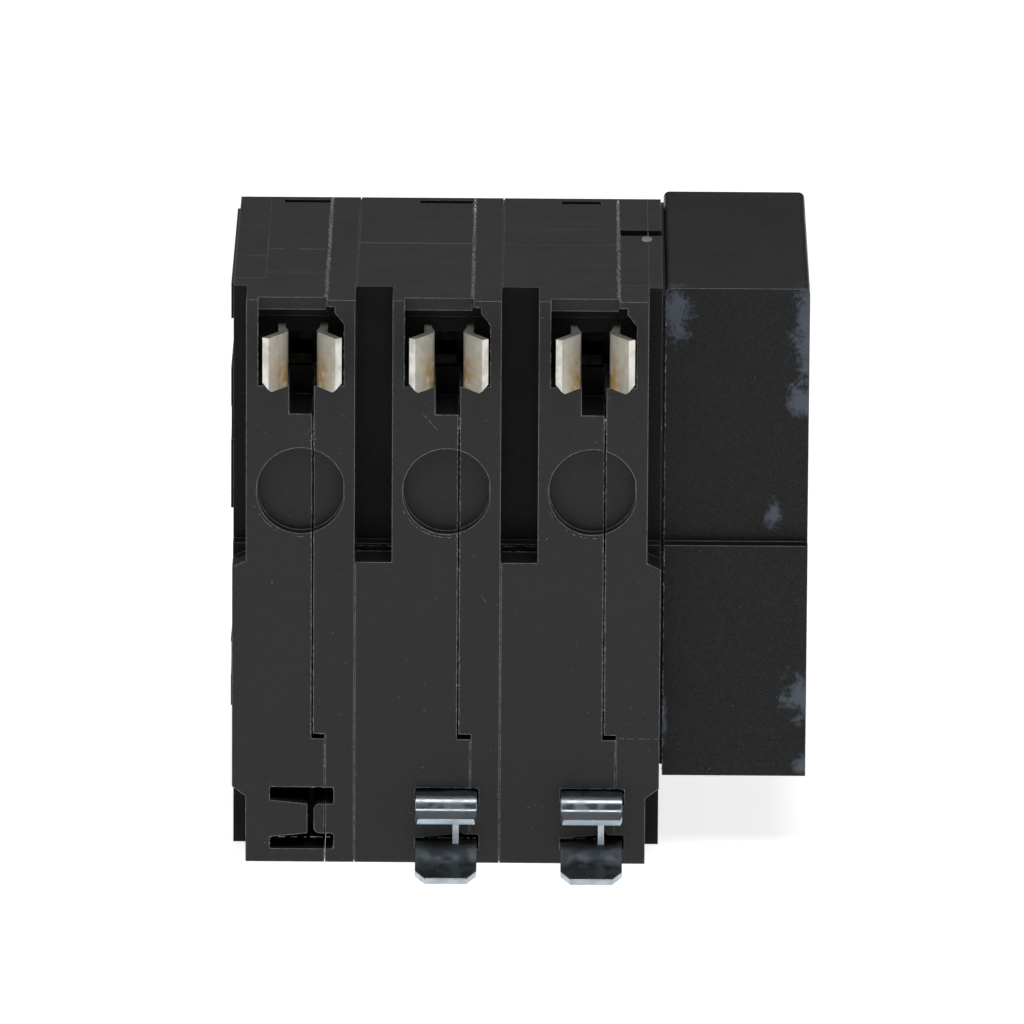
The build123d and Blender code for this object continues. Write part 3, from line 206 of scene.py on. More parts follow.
def make_floor():
    mesh = bpy.data.meshes.new("floor")
    shape = bmesh.new()
    bmesh.ops.create_grid(shape, x_segments=8, y_segments=8, size=FLOOR_HALF)
    shape.to_mesh(mesh)
    shape.free()
    floor = bpy.data.objects.new("floor", mesh)
    floor.location = (ORIGIN.x, ORIGIN.y, cad_low.z)
    bpy.context.scene.collection.objects.link(floor)
    material = bpy.data.materials.new("floor_paper")
    material.use_nodes = True
    paper = material.node_tree.nodes["Principled BSDF"]
    paper.inputs["Base Color"].default_value = (0.9, 0.9, 0.9, 1)
    paper.inputs["Roughness"].default_value = 0.9
    paper.inputs["Specular IOR Level"].default_value = 0.1
    paper.inputs["Emission Color"].default_value = (1, 1, 1, 1)
    paper.inputs["Emission Strength"].default_value = 0.8
    mesh.materials.append(material)


make_floor()
print("floor", round(2 * FLOOR_HALF, 1), "m wide")

# %% Studio light
def softbox(name, place_at, aim_at, width, height, watts):
    light = bpy.data.lights.new(name, "AREA")
    light.shape = "RECTANGLE"
    light.size = width
    light.size_y = height
    light.energy = watts
    lamp = bpy.data.objects.new(name, light)
    bpy.context.scene.collection.objects.link(lamp)
    lamp.location = place_at
    lamp.rotation_euler = (Vector(aim_at) - Vector(place_at)).to_track_quat("-Z", "Y").to_euler()


LIGHTS = [
    # name, place, aim, width, height, power
    ("front_box", (0.1, -1.0, 1.7), (0, 0, 0.04), 1.3, 0.8, 13.0),
    ("back_box", (0.0, 1.2, 0.9), (0, 0, 0.04), 2.0, 0.7, 3.0),
    ("left_box", (-1.4, -0.8, 0.7), (0, 0, 0.04), 0.7, 1.0, 4.0),
    ("right_box", (1.4, -0.6, 0.6), (0, 0, 0.04), 0.6, 1.0, 3.0),
]
for line in LIGHTS:
    softbox(*line)


def studio_room(horizon, ceiling, viewer_side):
    """A room that brightens towards its ceiling and is dimmer on the viewer's side."""
    world = bpy.data.worlds.new("studio")
    world.use_nodes = True
    tree = world.node_tree
    direction = add(tree, "TexCoord").outputs["Generated"]
    axis = add(tree, "SeparateXYZ", {0: direction}).outputs
    level = ramp(tree, axis["Z"], 0.1, 0.8, horizon, ceiling)
    level = calc(tree, "MULTIPLY", level, ramp(tree, axis["Y"], -0.5, 0.5, viewer_side, 1.0))
    tree.links.new(level, tree.nodes["Background"].inputs["Strength"])
    bpy.context.scene.world = world


studio_room(0.27, 0.5, 0.35)
print("lights", [line[0] for line in LIGHTS])

# %% [markdown]
# ## Effects that several finishes share
# The case is a mineral-filled thermoset pressed in a textured mould. Up close it has a
# fine grain, and over a hand's width it is cloudy. Painting this by hand would need image
# maps. Noise in the object's own coordinates has no seams and keeps its real size, so
# each effect is a node group measured in millimetres.

# %% Millimetre coordinates
def millimetres(tree):
    """The point on the piece, in millimetres."""
    point = add(tree, "TexCoord").outputs["Object"]
    return add(tree, "VectorMath", {0: point, 3: 1 / MM}, operation="SCALE").outputs[0]


def noise(tree, point, size, detail=3.0):
    """Noise whose blobs are about size millimetres wide."""
    scale = calc(tree, "DIVIDE", 1.0, size)
    node = add(tree, "TexNoise", {"Vector": point, "Scale": scale, "Detail": detail})
    return node.outputs[0]


# %% Moulded grain
def make_moulded_grain():
    tree, given, result = effect_group(
        "moulded_grain",
        [("Grain Size", NUMBER, 0.3), ("Cloud Size", NUMBER, 9.0)],
        [("Height", NUMBER), ("Grain", NUMBER), ("Cloud", NUMBER)])
    point = millimetres(tree)
    fine = noise(tree, point, given["Grain Size"], 4.0)
    cloud = noise(tree, point, given["Cloud Size"], 2.0)
    tree.links.new(fine, result["Height"])
    tree.links.new(ramp(tree, fine, 0.35, 0.68), result["Grain"])
    tree.links.new(ramp(tree, cloud, 0.35, 0.65), result["Cloud"])
    return tree


moulded_grain = make_moulded_grain()
print("built", moulded_grain.name)

# %% [markdown]
# Corners of a real moulding are never sharp. They catch light as thin bright lines, and
# rubbing turns them grey. Rounding thousands of edges in mesh would be slow, and the
# frame's own meshes must stay as they are. The Bevel node rounds the normal instead, and
# where it turns the normal away from the flat face there is an edge to wear. The finishes
# lighten the colour there: partly rubbed wear, partly a painted highlight along the edge.

# %% Worn edges and painted edge highlights
def make_edge_wear_and_highlight():
    tree, given, result = effect_group(
        "edge_wear_and_highlight",
        [("Radius", NUMBER, 0.15), ("Raggedness", NUMBER, 0.5)],
        [("Mask", NUMBER), ("Normal", VECTOR)])
    radius = calc(tree, "MULTIPLY", given["Radius"], MM)
    bevel = add(tree, "Bevel", {"Radius": radius}, samples=6).outputs[0]
    face = add(tree, "NewGeometry").outputs["Normal"]
    along = add(tree, "VectorMath", {0: bevel, 1: face}, operation="DOT_PRODUCT").outputs["Value"]
    turned = ramp(tree, along, 0.998, 0.90)
    chips = noise(tree, millimetres(tree), 0.6, 5.0)
    broken = ramp(tree, chips, 0.36, 0.58)
    keep = calc(tree, "SUBTRACT", 1.0, given["Raggedness"])
    share = calc(tree, "MULTIPLY_ADD", broken, given["Raggedness"])
    tree.links.new(keep, share.node.inputs[2])
    tree.links.new(calc(tree, "MULTIPLY", turned, share, clamp=True), result["Mask"])
    tree.links.new(bevel, result["Normal"])
    return tree


edge_wear_and_highlight = make_edge_wear_and_highlight()
print("built", edge_wear_and_highlight.name)

# %% [markdown]
# Dust specks and short scratches are the same thing to a shader: scattered cells, round
# or drawn out. A Voronoi pattern gives each cell a random value, and only some of the
# cells show. Stretching the coordinates turns specks into scratches.

# %% Flecks: dust and scratches
def make_flecks():
    tree, given, result = effect_group(
        "flecks",
        [("Spacing", NUMBER, 1.5), ("Size", NUMBER, 0.1), ("Amount", NUMBER, 0.3),
         ("Stretch", VECTOR, (1, 1, 1)), ("Turn", VECTOR, (0, 0, 0))],
        [("Mask", NUMBER)])
    wander = noise(tree, millimetres(tree), 3.0, 2.0)
    point = add(tree, "VectorMath", {0: millimetres(tree), 1: wander}, operation="ADD").outputs[0]
    mapped = add(tree, "Mapping", {
        "Vector": point, "Rotation": given["Turn"], "Scale": given["Stretch"]}).outputs[0]
    cells = add(tree, "TexVoronoi", {
        "Vector": mapped, "Scale": calc(tree, "DIVIDE", 1.0, given["Spacing"])})
    distance = calc(tree, "MULTIPLY", cells.outputs["Distance"], given["Spacing"])
    pick = add(tree, "SeparateColor", {0: cells.outputs["Color"]})
    chosen = calc(tree, "LESS_THAN", pick.outputs[0], given["Amount"])
    size = calc(tree, "MULTIPLY", given["Size"], calc(tree, "ADD", pick.outputs[1], 0.4))
    inside = calc(tree, "LESS_THAN", distance, size)
    strength = calc(tree, "ADD", calc(tree, "MULTIPLY", pick.outputs[2], 0.7), 0.3)
    mask = calc(tree, "MULTIPLY", calc(tree, "MULTIPLY", chosen, inside), strength)
    tree.links.new(mask, result["Mask"])
    return tree


flecks = make_flecks()
print("built", flecks.name)

# %% [markdown]
# A scuff is plastic dragged along something hard: a chalky, bluish bloom with a frayed
# edge. It has one place, so its group takes a centre and a half size in millimetres and
# breaks the outline up with two scales of noise.

# %% Scuffed patches
def make_scuff_patch():
    tree, given, result = effect_group(
        "scuff_patch",
        [("Centre", VECTOR, (0, 0, 0)), ("Half Size", VECTOR, (1, 1, 1)),
         ("Fray", NUMBER, 0.6)],
        [("Mask", NUMBER)])
    point = millimetres(tree)
    offset = add(tree, "VectorMath", {0: point, 1: given["Centre"]}, operation="SUBTRACT")
    share = add(tree, "VectorMath", {0: offset.outputs[0], 1: given["Half Size"]},
                operation="DIVIDE")
    reach = add(tree, "VectorMath", {0: share.outputs[0]}, operation="LENGTH").outputs["Value"]
    wide = calc(tree, "SUBTRACT", noise(tree, point, 2.2, 6.0), 0.5)
    fine = calc(tree, "SUBTRACT", noise(tree, point, 0.5, 4.0), 0.5)
    fray = calc(tree, "MULTIPLY", calc(tree, "ADD", wide, calc(tree, "MULTIPLY", fine, 0.6)),
                calc(tree, "MULTIPLY", given["Fray"], 4.0))
    edge = calc(tree, "ADD", reach, fray)
    tree.links.new(ramp(tree, edge, 1.15, 0.25), result["Mask"])
    return tree


scuff_patch = make_scuff_patch()
print("built", scuff_patch.name)

# %% [markdown]
# Hands and panels polish the outer faces and never reach the bottom of a slot, so the
# floors of the slots keep the mould's dull texture. A mask by depth behind the back face
# turns down their shine, and it also darkens their colour: that darkening is painted shade
# in the recesses.

# %% Painted shade in recesses
def make_recess_shade_mask():
    tree, given, result = effect_group(
        "recess_shade_mask", [("Shallow", NUMBER, 1.0), ("Deep", NUMBER, 5.5)], [("Mask", NUMBER)])
    depth = add(tree, "SeparateXYZ", {0: millimetres(tree)}).outputs["Y"]
    depth = calc(tree, "SUBTRACT", depth, ORIGIN.y / MM)
    shape = add(tree, "MapRange", {
        "Value": depth, "From Min": given["Shallow"], "From Max": given["Deep"]})
    facing = add(tree, "SeparateXYZ", {0: add(tree, "NewGeometry").outputs["Normal"]})
    backward = ramp(tree, calc(tree, "MULTIPLY", facing.outputs["Y"], -1.0), 0.4, 0.8)
    tree.links.new(calc(tree, "MULTIPLY", shape.outputs["Result"], backward), result["Mask"])
    return tree


recess_shade_mask = make_recess_shade_mask()
print("built", recess_shade_mask.name)

# %% [markdown]
# Rolled and drawn metal carries fine lines along the way it was worked. Noise squeezed
# across that way and drawn out along it gives them, for both colour and height.

# %% Drawn metal
def make_drawn_metal():
    tree, given, result = effect_group(
        "drawn_metal",
        [("Line Width", NUMBER, 0.08), ("Direction", VECTOR, (1, 1, 12))],
        [("Height", NUMBER), ("Cloud", NUMBER)])
    point = millimetres(tree)
    drawn = add(tree, "VectorMath", {0: point, 1: given["Direction"]}, operation="DIVIDE")
    tree.links.new(noise(tree, drawn.outputs[0], given["Line Width"], 3.0), result["Height"])
    cloud = noise(tree, point, 1.6, 4.0)
    tree.links.new(ramp(tree, cloud, 0.35, 0.65), result["Cloud"])
    return tree


drawn_metal = make_drawn_metal()
print("built", drawn_metal.name)

# %% [markdown]
# ## Finishes
# A finish is one Principled shader with effects feeding its colour, roughness and bump.
# The poles and the module are different mouldings: the poles are matt and dusty, the
# module is a little glossier and shows its scuffs more.

# %% Start of every finish
def new_finish(name):
    material = bpy.data.materials.new(name)
    material.use_nodes = True
    tree = material.node_tree
    return material, tree, tree.nodes["Principled BSDF"]


def bumped(tree, height, distance, strength, normal=None):
    """Normal with a small relief; distance is in millimetres."""
    inputs = {"Height": height, "Distance": distance * MM, "Strength": strength}
    if normal is not None:
        inputs["Normal"] = normal
    return add(tree, "Bump", inputs).outputs[0]


# %% Moulded plastic
def moulded_plastic(
        name, colour, worn_and_highlight_colour, roughness, grain_size=0.14, relief=0.004, edge=0.2, ragged=0.5,
        dust=0.3, scratches=0.25, contrast=0.14, edge_wear_and_highlight_strength=1.0, shine=0.30, dull=0.0, patches=(),
        chalk=(0.2, 0.22, 0.26)):
    material, tree, shader = new_finish(name)
    grain = use(tree, moulded_grain, Grain_Size=grain_size)
    edges = use(tree, edge_wear_and_highlight, Radius=edge, Raggedness=ragged)
    specks = use(tree, flecks, Spacing=0.8, Size=0.055, Amount=dust)
    lines = use(tree, flecks, Spacing=2.6, Size=0.05, Amount=scratches,
                Stretch=(1.0, 1.0, 0.08), Turn=(0.3, 0.5, 0.2))
    dark = tuple(c * (1 - contrast) for c in colour)
    light = tuple(c * (1 + contrast) for c in colour)
    body = mixed(tree, grain["Cloud"], dark, light)
    body = mixed(tree, calc(tree, "MULTIPLY", grain["Grain"], 0.06), body, worn_and_highlight_colour)
    # The edge mask lightens the colour: partly rubbed wear, partly a painted highlight along the
    # edge.
    body = mixed(tree, calc(tree, "MULTIPLY", edges["Mask"], edge_wear_and_highlight_strength), body, worn_and_highlight_colour)
    dirt = calc(tree, "MAXIMUM", specks["Mask"], calc(tree, "MULTIPLY", lines["Mask"], 0.8))
    body = mixed(tree, calc(tree, "MULTIPLY", dirt, 0.7), body, worn_and_highlight_colour)
    rough = calc(tree, "ADD", roughness - 0.05, calc(tree, "MULTIPLY", grain["Cloud"], 0.1))
    for centre, half, fray in patches:
        patch = use(tree, scuff_patch, Centre=centre, Half_Size=half, Fray=fray)
        body = mixed(tree, patch["Mask"], body, chalk)
        rough = calc(tree, "ADD", rough, calc(tree, "MULTIPLY", patch["Mask"], 0.25))
    # Painted shade: the recess mask darkens the slot floors towards 0.4 of the colour and turns down
    # their shine.
    painted_recess_shade = calc(tree, "MULTIPLY", use(tree, recess_shade_mask)["Mask"], dull)
    body = mixed(tree, painted_recess_shade, body, tuple(c * 0.4 for c in colour))
    gloss = calc(tree, "MULTIPLY", calc(tree, "SUBTRACT", 1.0, painted_recess_shade), shine)
    tree.links.new(body, shader.inputs["Base Color"])
    tree.links.new(rough, shader.inputs["Roughness"])
    tree.links.new(gloss, shader.inputs["Specular IOR Level"])
    normal = bumped(tree, grain["Height"], relief, 1.0, edges["Normal"])
    tree.links.new(normal, shader.inputs["Normal"])
    return material


# %% Worked metal
def worked_metal(
        name, colour, dull, roughness, direction=(1, 1, 12), line_width=0.08, relief=0.004,
        edge=0.08, metallic=1.0):
    material, tree, shader = new_finish(name)
    shader.inputs["Metallic"].default_value = metallic
    drawn = use(tree, drawn_metal, Line_Width=line_width, Direction=direction)
    edges = use(tree, edge_wear_and_highlight, Radius=edge, Raggedness=0.3)
    specks = use(tree, flecks, Spacing=0.7, Size=0.08, Amount=0.3)
    body = mixed(tree, drawn["Cloud"], colour, dull)
    body = mixed(tree, calc(tree, "MULTIPLY", specks["Mask"], 0.5), body, dull)
    # The edge mask lightens the metal: partly wear, partly a painted highlight along the edge.
    body = mixed(tree, calc(tree, "MULTIPLY", edges["Mask"], 0.5), body,
                 tuple(min(1.0, c * 1.2) for c in colour))
    rough = ramp(tree, drawn["Cloud"], 0.0, 1.0, roughness - 0.06, roughness + 0.08)
    tree.links.new(body, shader.inputs["Base Color"])
    tree.links.new(rough, shader.inputs["Roughness"])
    normal = bumped(tree, drawn["Height"], relief, 1.0, edges["Normal"])
    tree.links.new(normal, shader.inputs["Normal"])
    return material


print("finish builders ready")

# %% [markdown]
# The scuffs of the module sit where hands and the panel rub it: down its outer back edge,
# in its upper inner corner and near its foot.

# %% Plastics of the case and the module
def effect_centre(x, y, z):
    """A drawing place in the millimetres that the effects measure in."""
    return tuple(place(x, y, z) / MM)


MODULE_SCUFFS = [
    # centre on the back of the module, half size, fray
    (effect_centre(29.8, MODULE_BACK_HIGH, 72.8), (2.0, 6.0, 4.2), 0.6),
    (effect_centre(47.4, MODULE_BACK_HIGH, 70.0), (2.6, 6.0, 8.5), 0.55),
    (effect_centre(46.6, MODULE_BACK_HIGH, 60.8), (2.6, 6.0, 2.6), 0.6),
    (effect_centre(43.0, MODULE_BACK_HIGH, 45.6), (1.2, 6.0, 2.6), 0.6),
    (effect_centre(46.6, MODULE_BACK_LOW, 21.6), (2.4, 6.0, 3.4), 0.6),
    (effect_centre(47.0, MODULE_BACK_LOW, 12.0), (1.4, 6.0, 1.5), 0.5),
    (effect_centre(28.5, MODULE_BACK_LOW, 18.5), (0.6, 6.0, 3.2), 0.6),
]
CASE_SMEARS = [
    # dust that the curls of the two hooks have trapped
    (effect_centre(-1.0, 0.0, 11.5), (2.6, 3.0, 0.8), 0.18),
    (effect_centre(18.8, 0.0, 11.5), (2.9, 3.0, 0.8), 0.18),
]
finishes = {
    # dull sets how strongly the slot floors of the case get painted shade.
    "case_plastic": moulded_plastic(
        "case_thermoset", (0.0095, 0.0095, 0.009), (0.28, 0.29, 0.31), 0.44, dull=0.6,
        patches=CASE_SMEARS, chalk=(0.036, 0.033, 0.029)),
    "module_plastic": moulded_plastic(
        "module_thermoset", (0.0062, 0.0064, 0.0064), (0.26, 0.28, 0.31), 0.38, relief=0.003,
        dust=0.16, scratches=0.3, edge_wear_and_highlight_strength=0.9, shine=0.16, patches=MODULE_SCUFFS,
        chalk=(0.085, 0.10, 0.125)),
    "handle_plastic": moulded_plastic(
        "handle_nylon", (0.012, 0.012, 0.012), (0.09, 0.09, 0.09), 0.38, grain_size=0.4),
    "inner_plastic": moulded_plastic(
        "inner_phenolic", (0.14, 0.12, 0.095), (0.3, 0.27, 0.22), 0.5),
    "flag_red": moulded_plastic(
        "flag_nylon", (0.5, 0.03, 0.02), (0.6, 0.2, 0.16), 0.4, contrast=0.15),
}
print("plastics", len(finishes), "scuffs", len(MODULE_SCUFFS))

# %% Metals
METALS = {
    # slot: (name, colour, dull colour, roughness, grain direction)
    "zinc_steel": ("bright_zinc", (0.46, 0.51, 0.55), (0.41, 0.46, 0.50), 0.34, (8, 1, 1)),
    "copper": ("bare_copper", (0.75, 0.42, 0.28), (0.50, 0.27, 0.18), 0.32, (1, 1, 12)),
    "silver_contact": ("silver_pad", (0.82, 0.81, 0.78), (0.60, 0.59, 0.56), 0.35, (1, 1, 1)),
    "spring_steel": ("spring_wire", (0.42, 0.42, 0.43), (0.30, 0.30, 0.31), 0.28, (1, 1, 1)),
    "plain_steel": ("flashed_steel", (0.52, 0.53, 0.54), (0.38, 0.38, 0.38), 0.36, (1, 1, 10)),
    "bimetal": ("rolled_bimetal", (0.58, 0.56, 0.50), (0.42, 0.38, 0.32), 0.34, (1, 1, 14)),
    "tinned_lug": ("tinned_lug", (0.72, 0.72, 0.70), (0.55, 0.55, 0.53), 0.42, (1, 1, 6)),
    "plated_screw": ("zinc_screw", (0.62, 0.62, 0.58), (0.44, 0.43, 0.38), 0.32, (1, 1, 1)),
    "brass": ("clamp_brass", (0.74, 0.58, 0.28), (0.50, 0.38, 0.17), 0.32, (1, 1, 6)),
}
ROLLED_EDGE = {"zinc_steel": 0.28}   # the hooks' sheared edges are rolled over
for slot, (name, colour, dull, roughness, direction) in METALS.items():
    finishes[slot] = worked_metal(
        name, colour, dull, roughness, direction, edge=ROLLED_EDGE.get(slot, 0.08))
sooty_steel = worked_metal(
    "sooty_steel", (0.030, 0.028, 0.026), (0.014, 0.013, 0.012), 0.6, (1, 1, 1), metallic=0.4)
print("metals", len(METALS) + 1)

# %% [markdown]
# The jaws are tinned spring copper with old contact grease: pale, matt, and yellow where
# the bus stabs have rubbed the grease to the inner edges of the fingers. Their stains
# repeat at the pole pitch, so the shader folds X about each pole's centre.

# %% Tinned jaws with grease stains
JAW_RIGHT = 0.2               # the jaws sit this far right of their poles' centres
STAIN_OUTER, STAIN_INNER = 4.1, 2.3     # the stain grows inwards between these two
STAIN_FOOT, STAIN_HEIGHT = 66.0, 4.5    # and fades upwards from its foot


def tinned_jaws():
    material = worked_metal(
        "tinned_copper", (0.80, 0.78, 0.72), (0.64, 0.62, 0.56), 0.5, (1, 1, 5), 0.12, 0.008,
        metallic=0.85)
    tree = material.node_tree
    shader = tree.nodes["Principled BSDF"]
    clean = shader.inputs["Base Color"].links[0].from_socket
    point = millimetres(tree)
    axis = add(tree, "SeparateXYZ", {0: point})
    centre_x = place(-PITCH / 2, 0, 0).x / MM
    across = calc(tree, "WRAP", axis.outputs["X"], centre_x)
    across.node.inputs[2].default_value = centre_x + PITCH
    fold_x = centre_x + PITCH / 2 + JAW_RIGHT
    from_centre = calc(tree, "ABSOLUTE", calc(tree, "SUBTRACT", across, fold_x))
    inner = ramp(tree, from_centre, STAIN_OUTER, STAIN_INNER)
    foot = place(0, 0, STAIN_FOOT).z / MM
    low = ramp(tree, axis.outputs["Z"], foot + STAIN_HEIGHT, foot)
    smear = ramp(tree, noise(tree, point, 1.4, 2.0), 0.34, 0.58)
    stain = calc(tree, "MULTIPLY", calc(tree, "MULTIPLY", inner, low), smear)
    body = mixed(tree, calc(tree, "MULTIPLY", stain, 0.85), clean, (0.55, 0.34, 0.06))
    tree.links.new(body, shader.inputs["Base Color"])
    return material


finishes["tinned_copper"] = tinned_jaws()
print("jaws finished")

# %% [markdown]
# Two finishes are neither moulded nor worked: the clear flag windows and the enamelled
# winding, whose turns are drawn as fine rings up the coil.

# %% Window and winding
def clear_window():
    material, tree, shader = new_finish("clear_polycarbonate")
    shader.inputs["Transmission Weight"].default_value = 0.9
    shader.inputs["IOR"].default_value = 1.58
    haze = noise(tree, millimetres(tree), 1.5, 4.0)
    tree.links.new(ramp(tree, haze, 0.3, 0.7, 0.05, 0.2), shader.inputs["Roughness"])
    tint = mixed(tree, ramp(tree, haze, 0.3, 0.7), (0.80, 0.83, 0.82), (0.93, 0.95, 0.94))
    tree.links.new(tint, shader.inputs["Base Color"])
    return material


def enamelled_winding():
    material, tree, shader = new_finish("enamelled_winding")
    height = add(tree, "SeparateXYZ", {0: millimetres(tree)}).outputs["Z"]
    turns = calc(tree, "PINGPONG", height, 0.12)
    groove = ramp(tree, turns, 0.0, 0.12)
    tone = mixed(tree, groove, (0.10, 0.03, 0.01), (0.45, 0.16, 0.05))
    shade = mixed(tree, calc(tree, "MULTIPLY", noise(tree, millimetres(tree), 2.0), 0.4),
                  tone, (0.2, 0.07, 0.03))
    tree.links.new(shade, shader.inputs["Base Color"])
    shader.inputs["Roughness"].default_value = 0.3
    tree.links.new(bumped(tree, groove, 0.06, 1.0), shader.inputs["Normal"])
    return material


finishes["clear_window"] = clear_window()
finishes["enamelled_wire"] = enamelled_winding()
print("finishes", sorted(finishes))

# %% [markdown]
# Each piece takes the finish of its material slot. The arc plates are plain steel like the
# pins, but every break in the current blackens them, so they have a finish of their own.

# %% Put the finishes on the frame's pieces
OWN_FINISH = {"arc_plates": sooty_steel}
for part in frame["record"]["subparts"]:
    piece = frame["nodes"][part["node"]]
    piece.data.materials.clear()
    piece.data.materials.append(OWN_FINISH.get(part["node"], finishes[part["material_slot"]]))

# %% [markdown]
# ## Burrs and insert lines
# Where two halves of a mould meet, a little plastic creeps out and is rubbed off again.
# What stays is a broken whitish crumb line along each seam. Inserts in the mould leave
# straight raised lines on the line end. Both are real relief, so they are mesh: a ridge
# of triangles along a line, with its width, height and breaks drawn from seeded numbers.

# %% A ridge along a line
def ridge_runs(length, step, gaps, draw):
    """Stretches of a line that carry a ridge, as lists of distances along it."""
    runs, run = [], []
    count = max(3, int(length / step))
    for index in range(count + 1):
        if draw.random() < gaps and len(run) > 0:
            runs.append(run)
            run = []
        else:
            run.append(length * index / count)
    runs.append(run)
    return [run for run in runs if len(run) > 2]


def add_ridge(shape, start, end, outward, width, height, gaps, jitter, step, draw):
    """Closed ragged ridges from start to end, standing out along outward."""
    along = end - start
    length = along.length
    along = along.normalized()
    across = along.cross(outward).normalized()
    for run in ridge_runs(length, step, gaps, draw):
        rings = []
        for distance in run:
            grow = 1 + jitter * draw.uniform(-1, 1)
            lean = jitter * draw.uniform(-0.5, 0.5) * width
            foot = start + along * distance + across * lean
            half = across * (width * grow / 2)
            top = foot + outward * (height * (1 + jitter * draw.uniform(-0.7, 0.7)))
            sunk = outward * (-0.02 * MM)
            rings.append([shape.verts.new(p) for p in (foot - half + sunk, top, foot + half + sunk)])
        for one, two in zip(rings, rings[1:]):
            for k in range(3):
                shape.faces.new((one[k], one[(k + 1) % 3], two[(k + 1) % 3], two[k]))
        shape.faces.new(rings[0][::-1])
        shape.faces.new(rings[-1])


def ridge_piece(name, lines, finish, slot_name, seed, **look):
    """One piece from several lines, each (start, end, outward)."""
    draw = random.Random(seed)
    shape = bmesh.new()
    for start, end, outward in lines:
        add_ridge(shape, start, end, outward, draw=draw, **look)
    bmesh.ops.recalc_face_normals(shape, faces=shape.faces)
    mesh = bpy.data.meshes.new(name)
    shape.to_mesh(mesh)
    shape.free()
    mesh.materials.append(finish)
    piece = bpy.data.objects.new(name, mesh)
    bpy.context.scene.collection.objects.link(piece)
    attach(piece, "case")


BACK, LINE_END = Vector((0, -1, 0)), Vector((0, 0, 1))
# A light finish for real burrs, scratches and the hair, and also for the painted highlight lines on
# ledges and recess rims.
burr_and_highlight_finish = moulded_plastic(
    "rubbed_burr_and_highlight", (0.24, 0.24, 0.25), (0.42, 0.43, 0.45), 0.7, relief=0.01, contrast=0.4)
line_finish = moulded_plastic(
    "insert_line", (0.22, 0.22, 0.24), (0.34, 0.35, 0.37), 0.5, contrast=0.3)
print("ridge tools ready")

# %% Burrs along the seams of the poles
TONGUE_LOW = 17.5
STAB_SLOT_LOW = 60.75
SEAT_HIGH = 10.2
SEAT_LOW = 1.8
RING_MIDDLE = 50.4
RING_REACH = 5.5
RING_DEPTH = 1.8
SHOULDER = 55.9
LIP = 1.6
ASIDE = 0.05                  # a burr's middle lies this far beside its edge
TONGUE_BURRS = (-0.31, 0.03)  # the two burrs beside the tongue's edge


def seam_lines(pole):
    """The seam of one pole: x of each stretch comes from the two halves themselves."""
    tongue = (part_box(f"pole_{pole}_cover")[0].x - ORIGIN.x) / MM
    seam = (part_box(f"pole_{pole}_base")[1].x - ORIGIN.x) / MM
    back = []
    for x in [tongue + aside for aside in TONGUE_BURRS]:
        back += [
            (place(x, 0, TONGUE_LOW), place(x, 0, RING_MIDDLE - RING_REACH), BACK),
            (place(x, RING_DEPTH, RING_MIDDLE - RING_REACH),
             place(x, RING_DEPTH, RING_MIDDLE + RING_REACH), BACK),
            (place(x, 0, RING_MIDDLE + RING_REACH), place(x, 0, STAB_SLOT_LOW), BACK),
        ]
    back += [
        (place(tongue, 0, TONGUE_LOW), place(seam, 0, TONGUE_LOW), BACK),
        (place(seam + ASIDE, 0, SEAT_HIGH), place(seam + ASIDE, 0, TONGUE_LOW), BACK),
        (place(seam + ASIDE, 0, 0.1), place(seam + ASIDE, 0, SEAT_LOW), BACK),
    ]
    top = [
        (place(seam - 0.04, LIP, CASE_HIGH), place(seam - 0.04, SHOULDER, CASE_HIGH), LINE_END),
        (place(seam + 0.18, 0.2, CASE_HIGH), place(seam + 0.18, SHOULDER, CASE_HIGH), LINE_END),
    ]
    return back, top


for pole in POLES:
    back, top = seam_lines(pole)
    ridge_piece(
        f"seam_burr_back_{pole}", back, burr_and_highlight_finish, "case_plastic", 10 + pole,
        width=0.11 * MM, height=0.04 * MM, gaps=0.3, jitter=0.8, step=0.16 * MM)
    ridge_piece(
        f"seam_burr_line_end_{pole}", top, burr_and_highlight_finish, "case_plastic", 20 + pole,
        width=0.26 * MM, height=0.06 * MM, gaps=0.08, jitter=0.9, step=0.2 * MM)
print("seam burrs on", len(POLES), "poles")

# %% [markdown]
# The mould also leaves a fringe round each pocket and hook seat. Two light lines across
# each slot's ledge are painted highlights where the ledge catches the light, and a light
# double line under each round recess is a painted highlight along its lower rim. All are
# lines on the back, so the same ridge tool draws them from short lists of corners.

# %% Fringes, and painted highlights on ledges and rims
POCKET_LOW, POCKET_HIGH, POCKET_HALF = 64.5, 74.4, 5.6
STAB_SLOT_LEFT, STAB_SLOT_RIGHT = -1.55, 1.7
NOTCH_LEFT, NOTCH_LOW = 4.35, 72.8      # the slanted notch in a pocket's upper right corner
SEAT_LEFT, SEAT_RIGHT = -4.0, 4.4
SEAT_MOUTHS = ((8.4, SEAT_HIGH), (SEAT_LOW, 3.4))
RING_RADIUS = 5.77
RIM_HIGHLIGHT_OFFSETS = (0.06, 0.45)              # painted highlight: two light lines under a round recess
RIM_START, RIM_END = 205, 275
# painted highlight: the two light lines across each slot's ledge
LEDGE_HIGHLIGHT_LEVELS = (41.55, 40.88)
SLOT_WIDTH = 4.75
LEDGE_DEPTH = 5.4
JOINT_LEFT_OF_HALF = 2.375              # a slot starts this far left of halfway


def along_corners(points, depth):
    """Back-face lines through a list of (x, z) corners."""
    places = [place(x, depth, z) for x, z in points]
    return [(one, two, BACK) for one, two in zip(places, places[1:])]


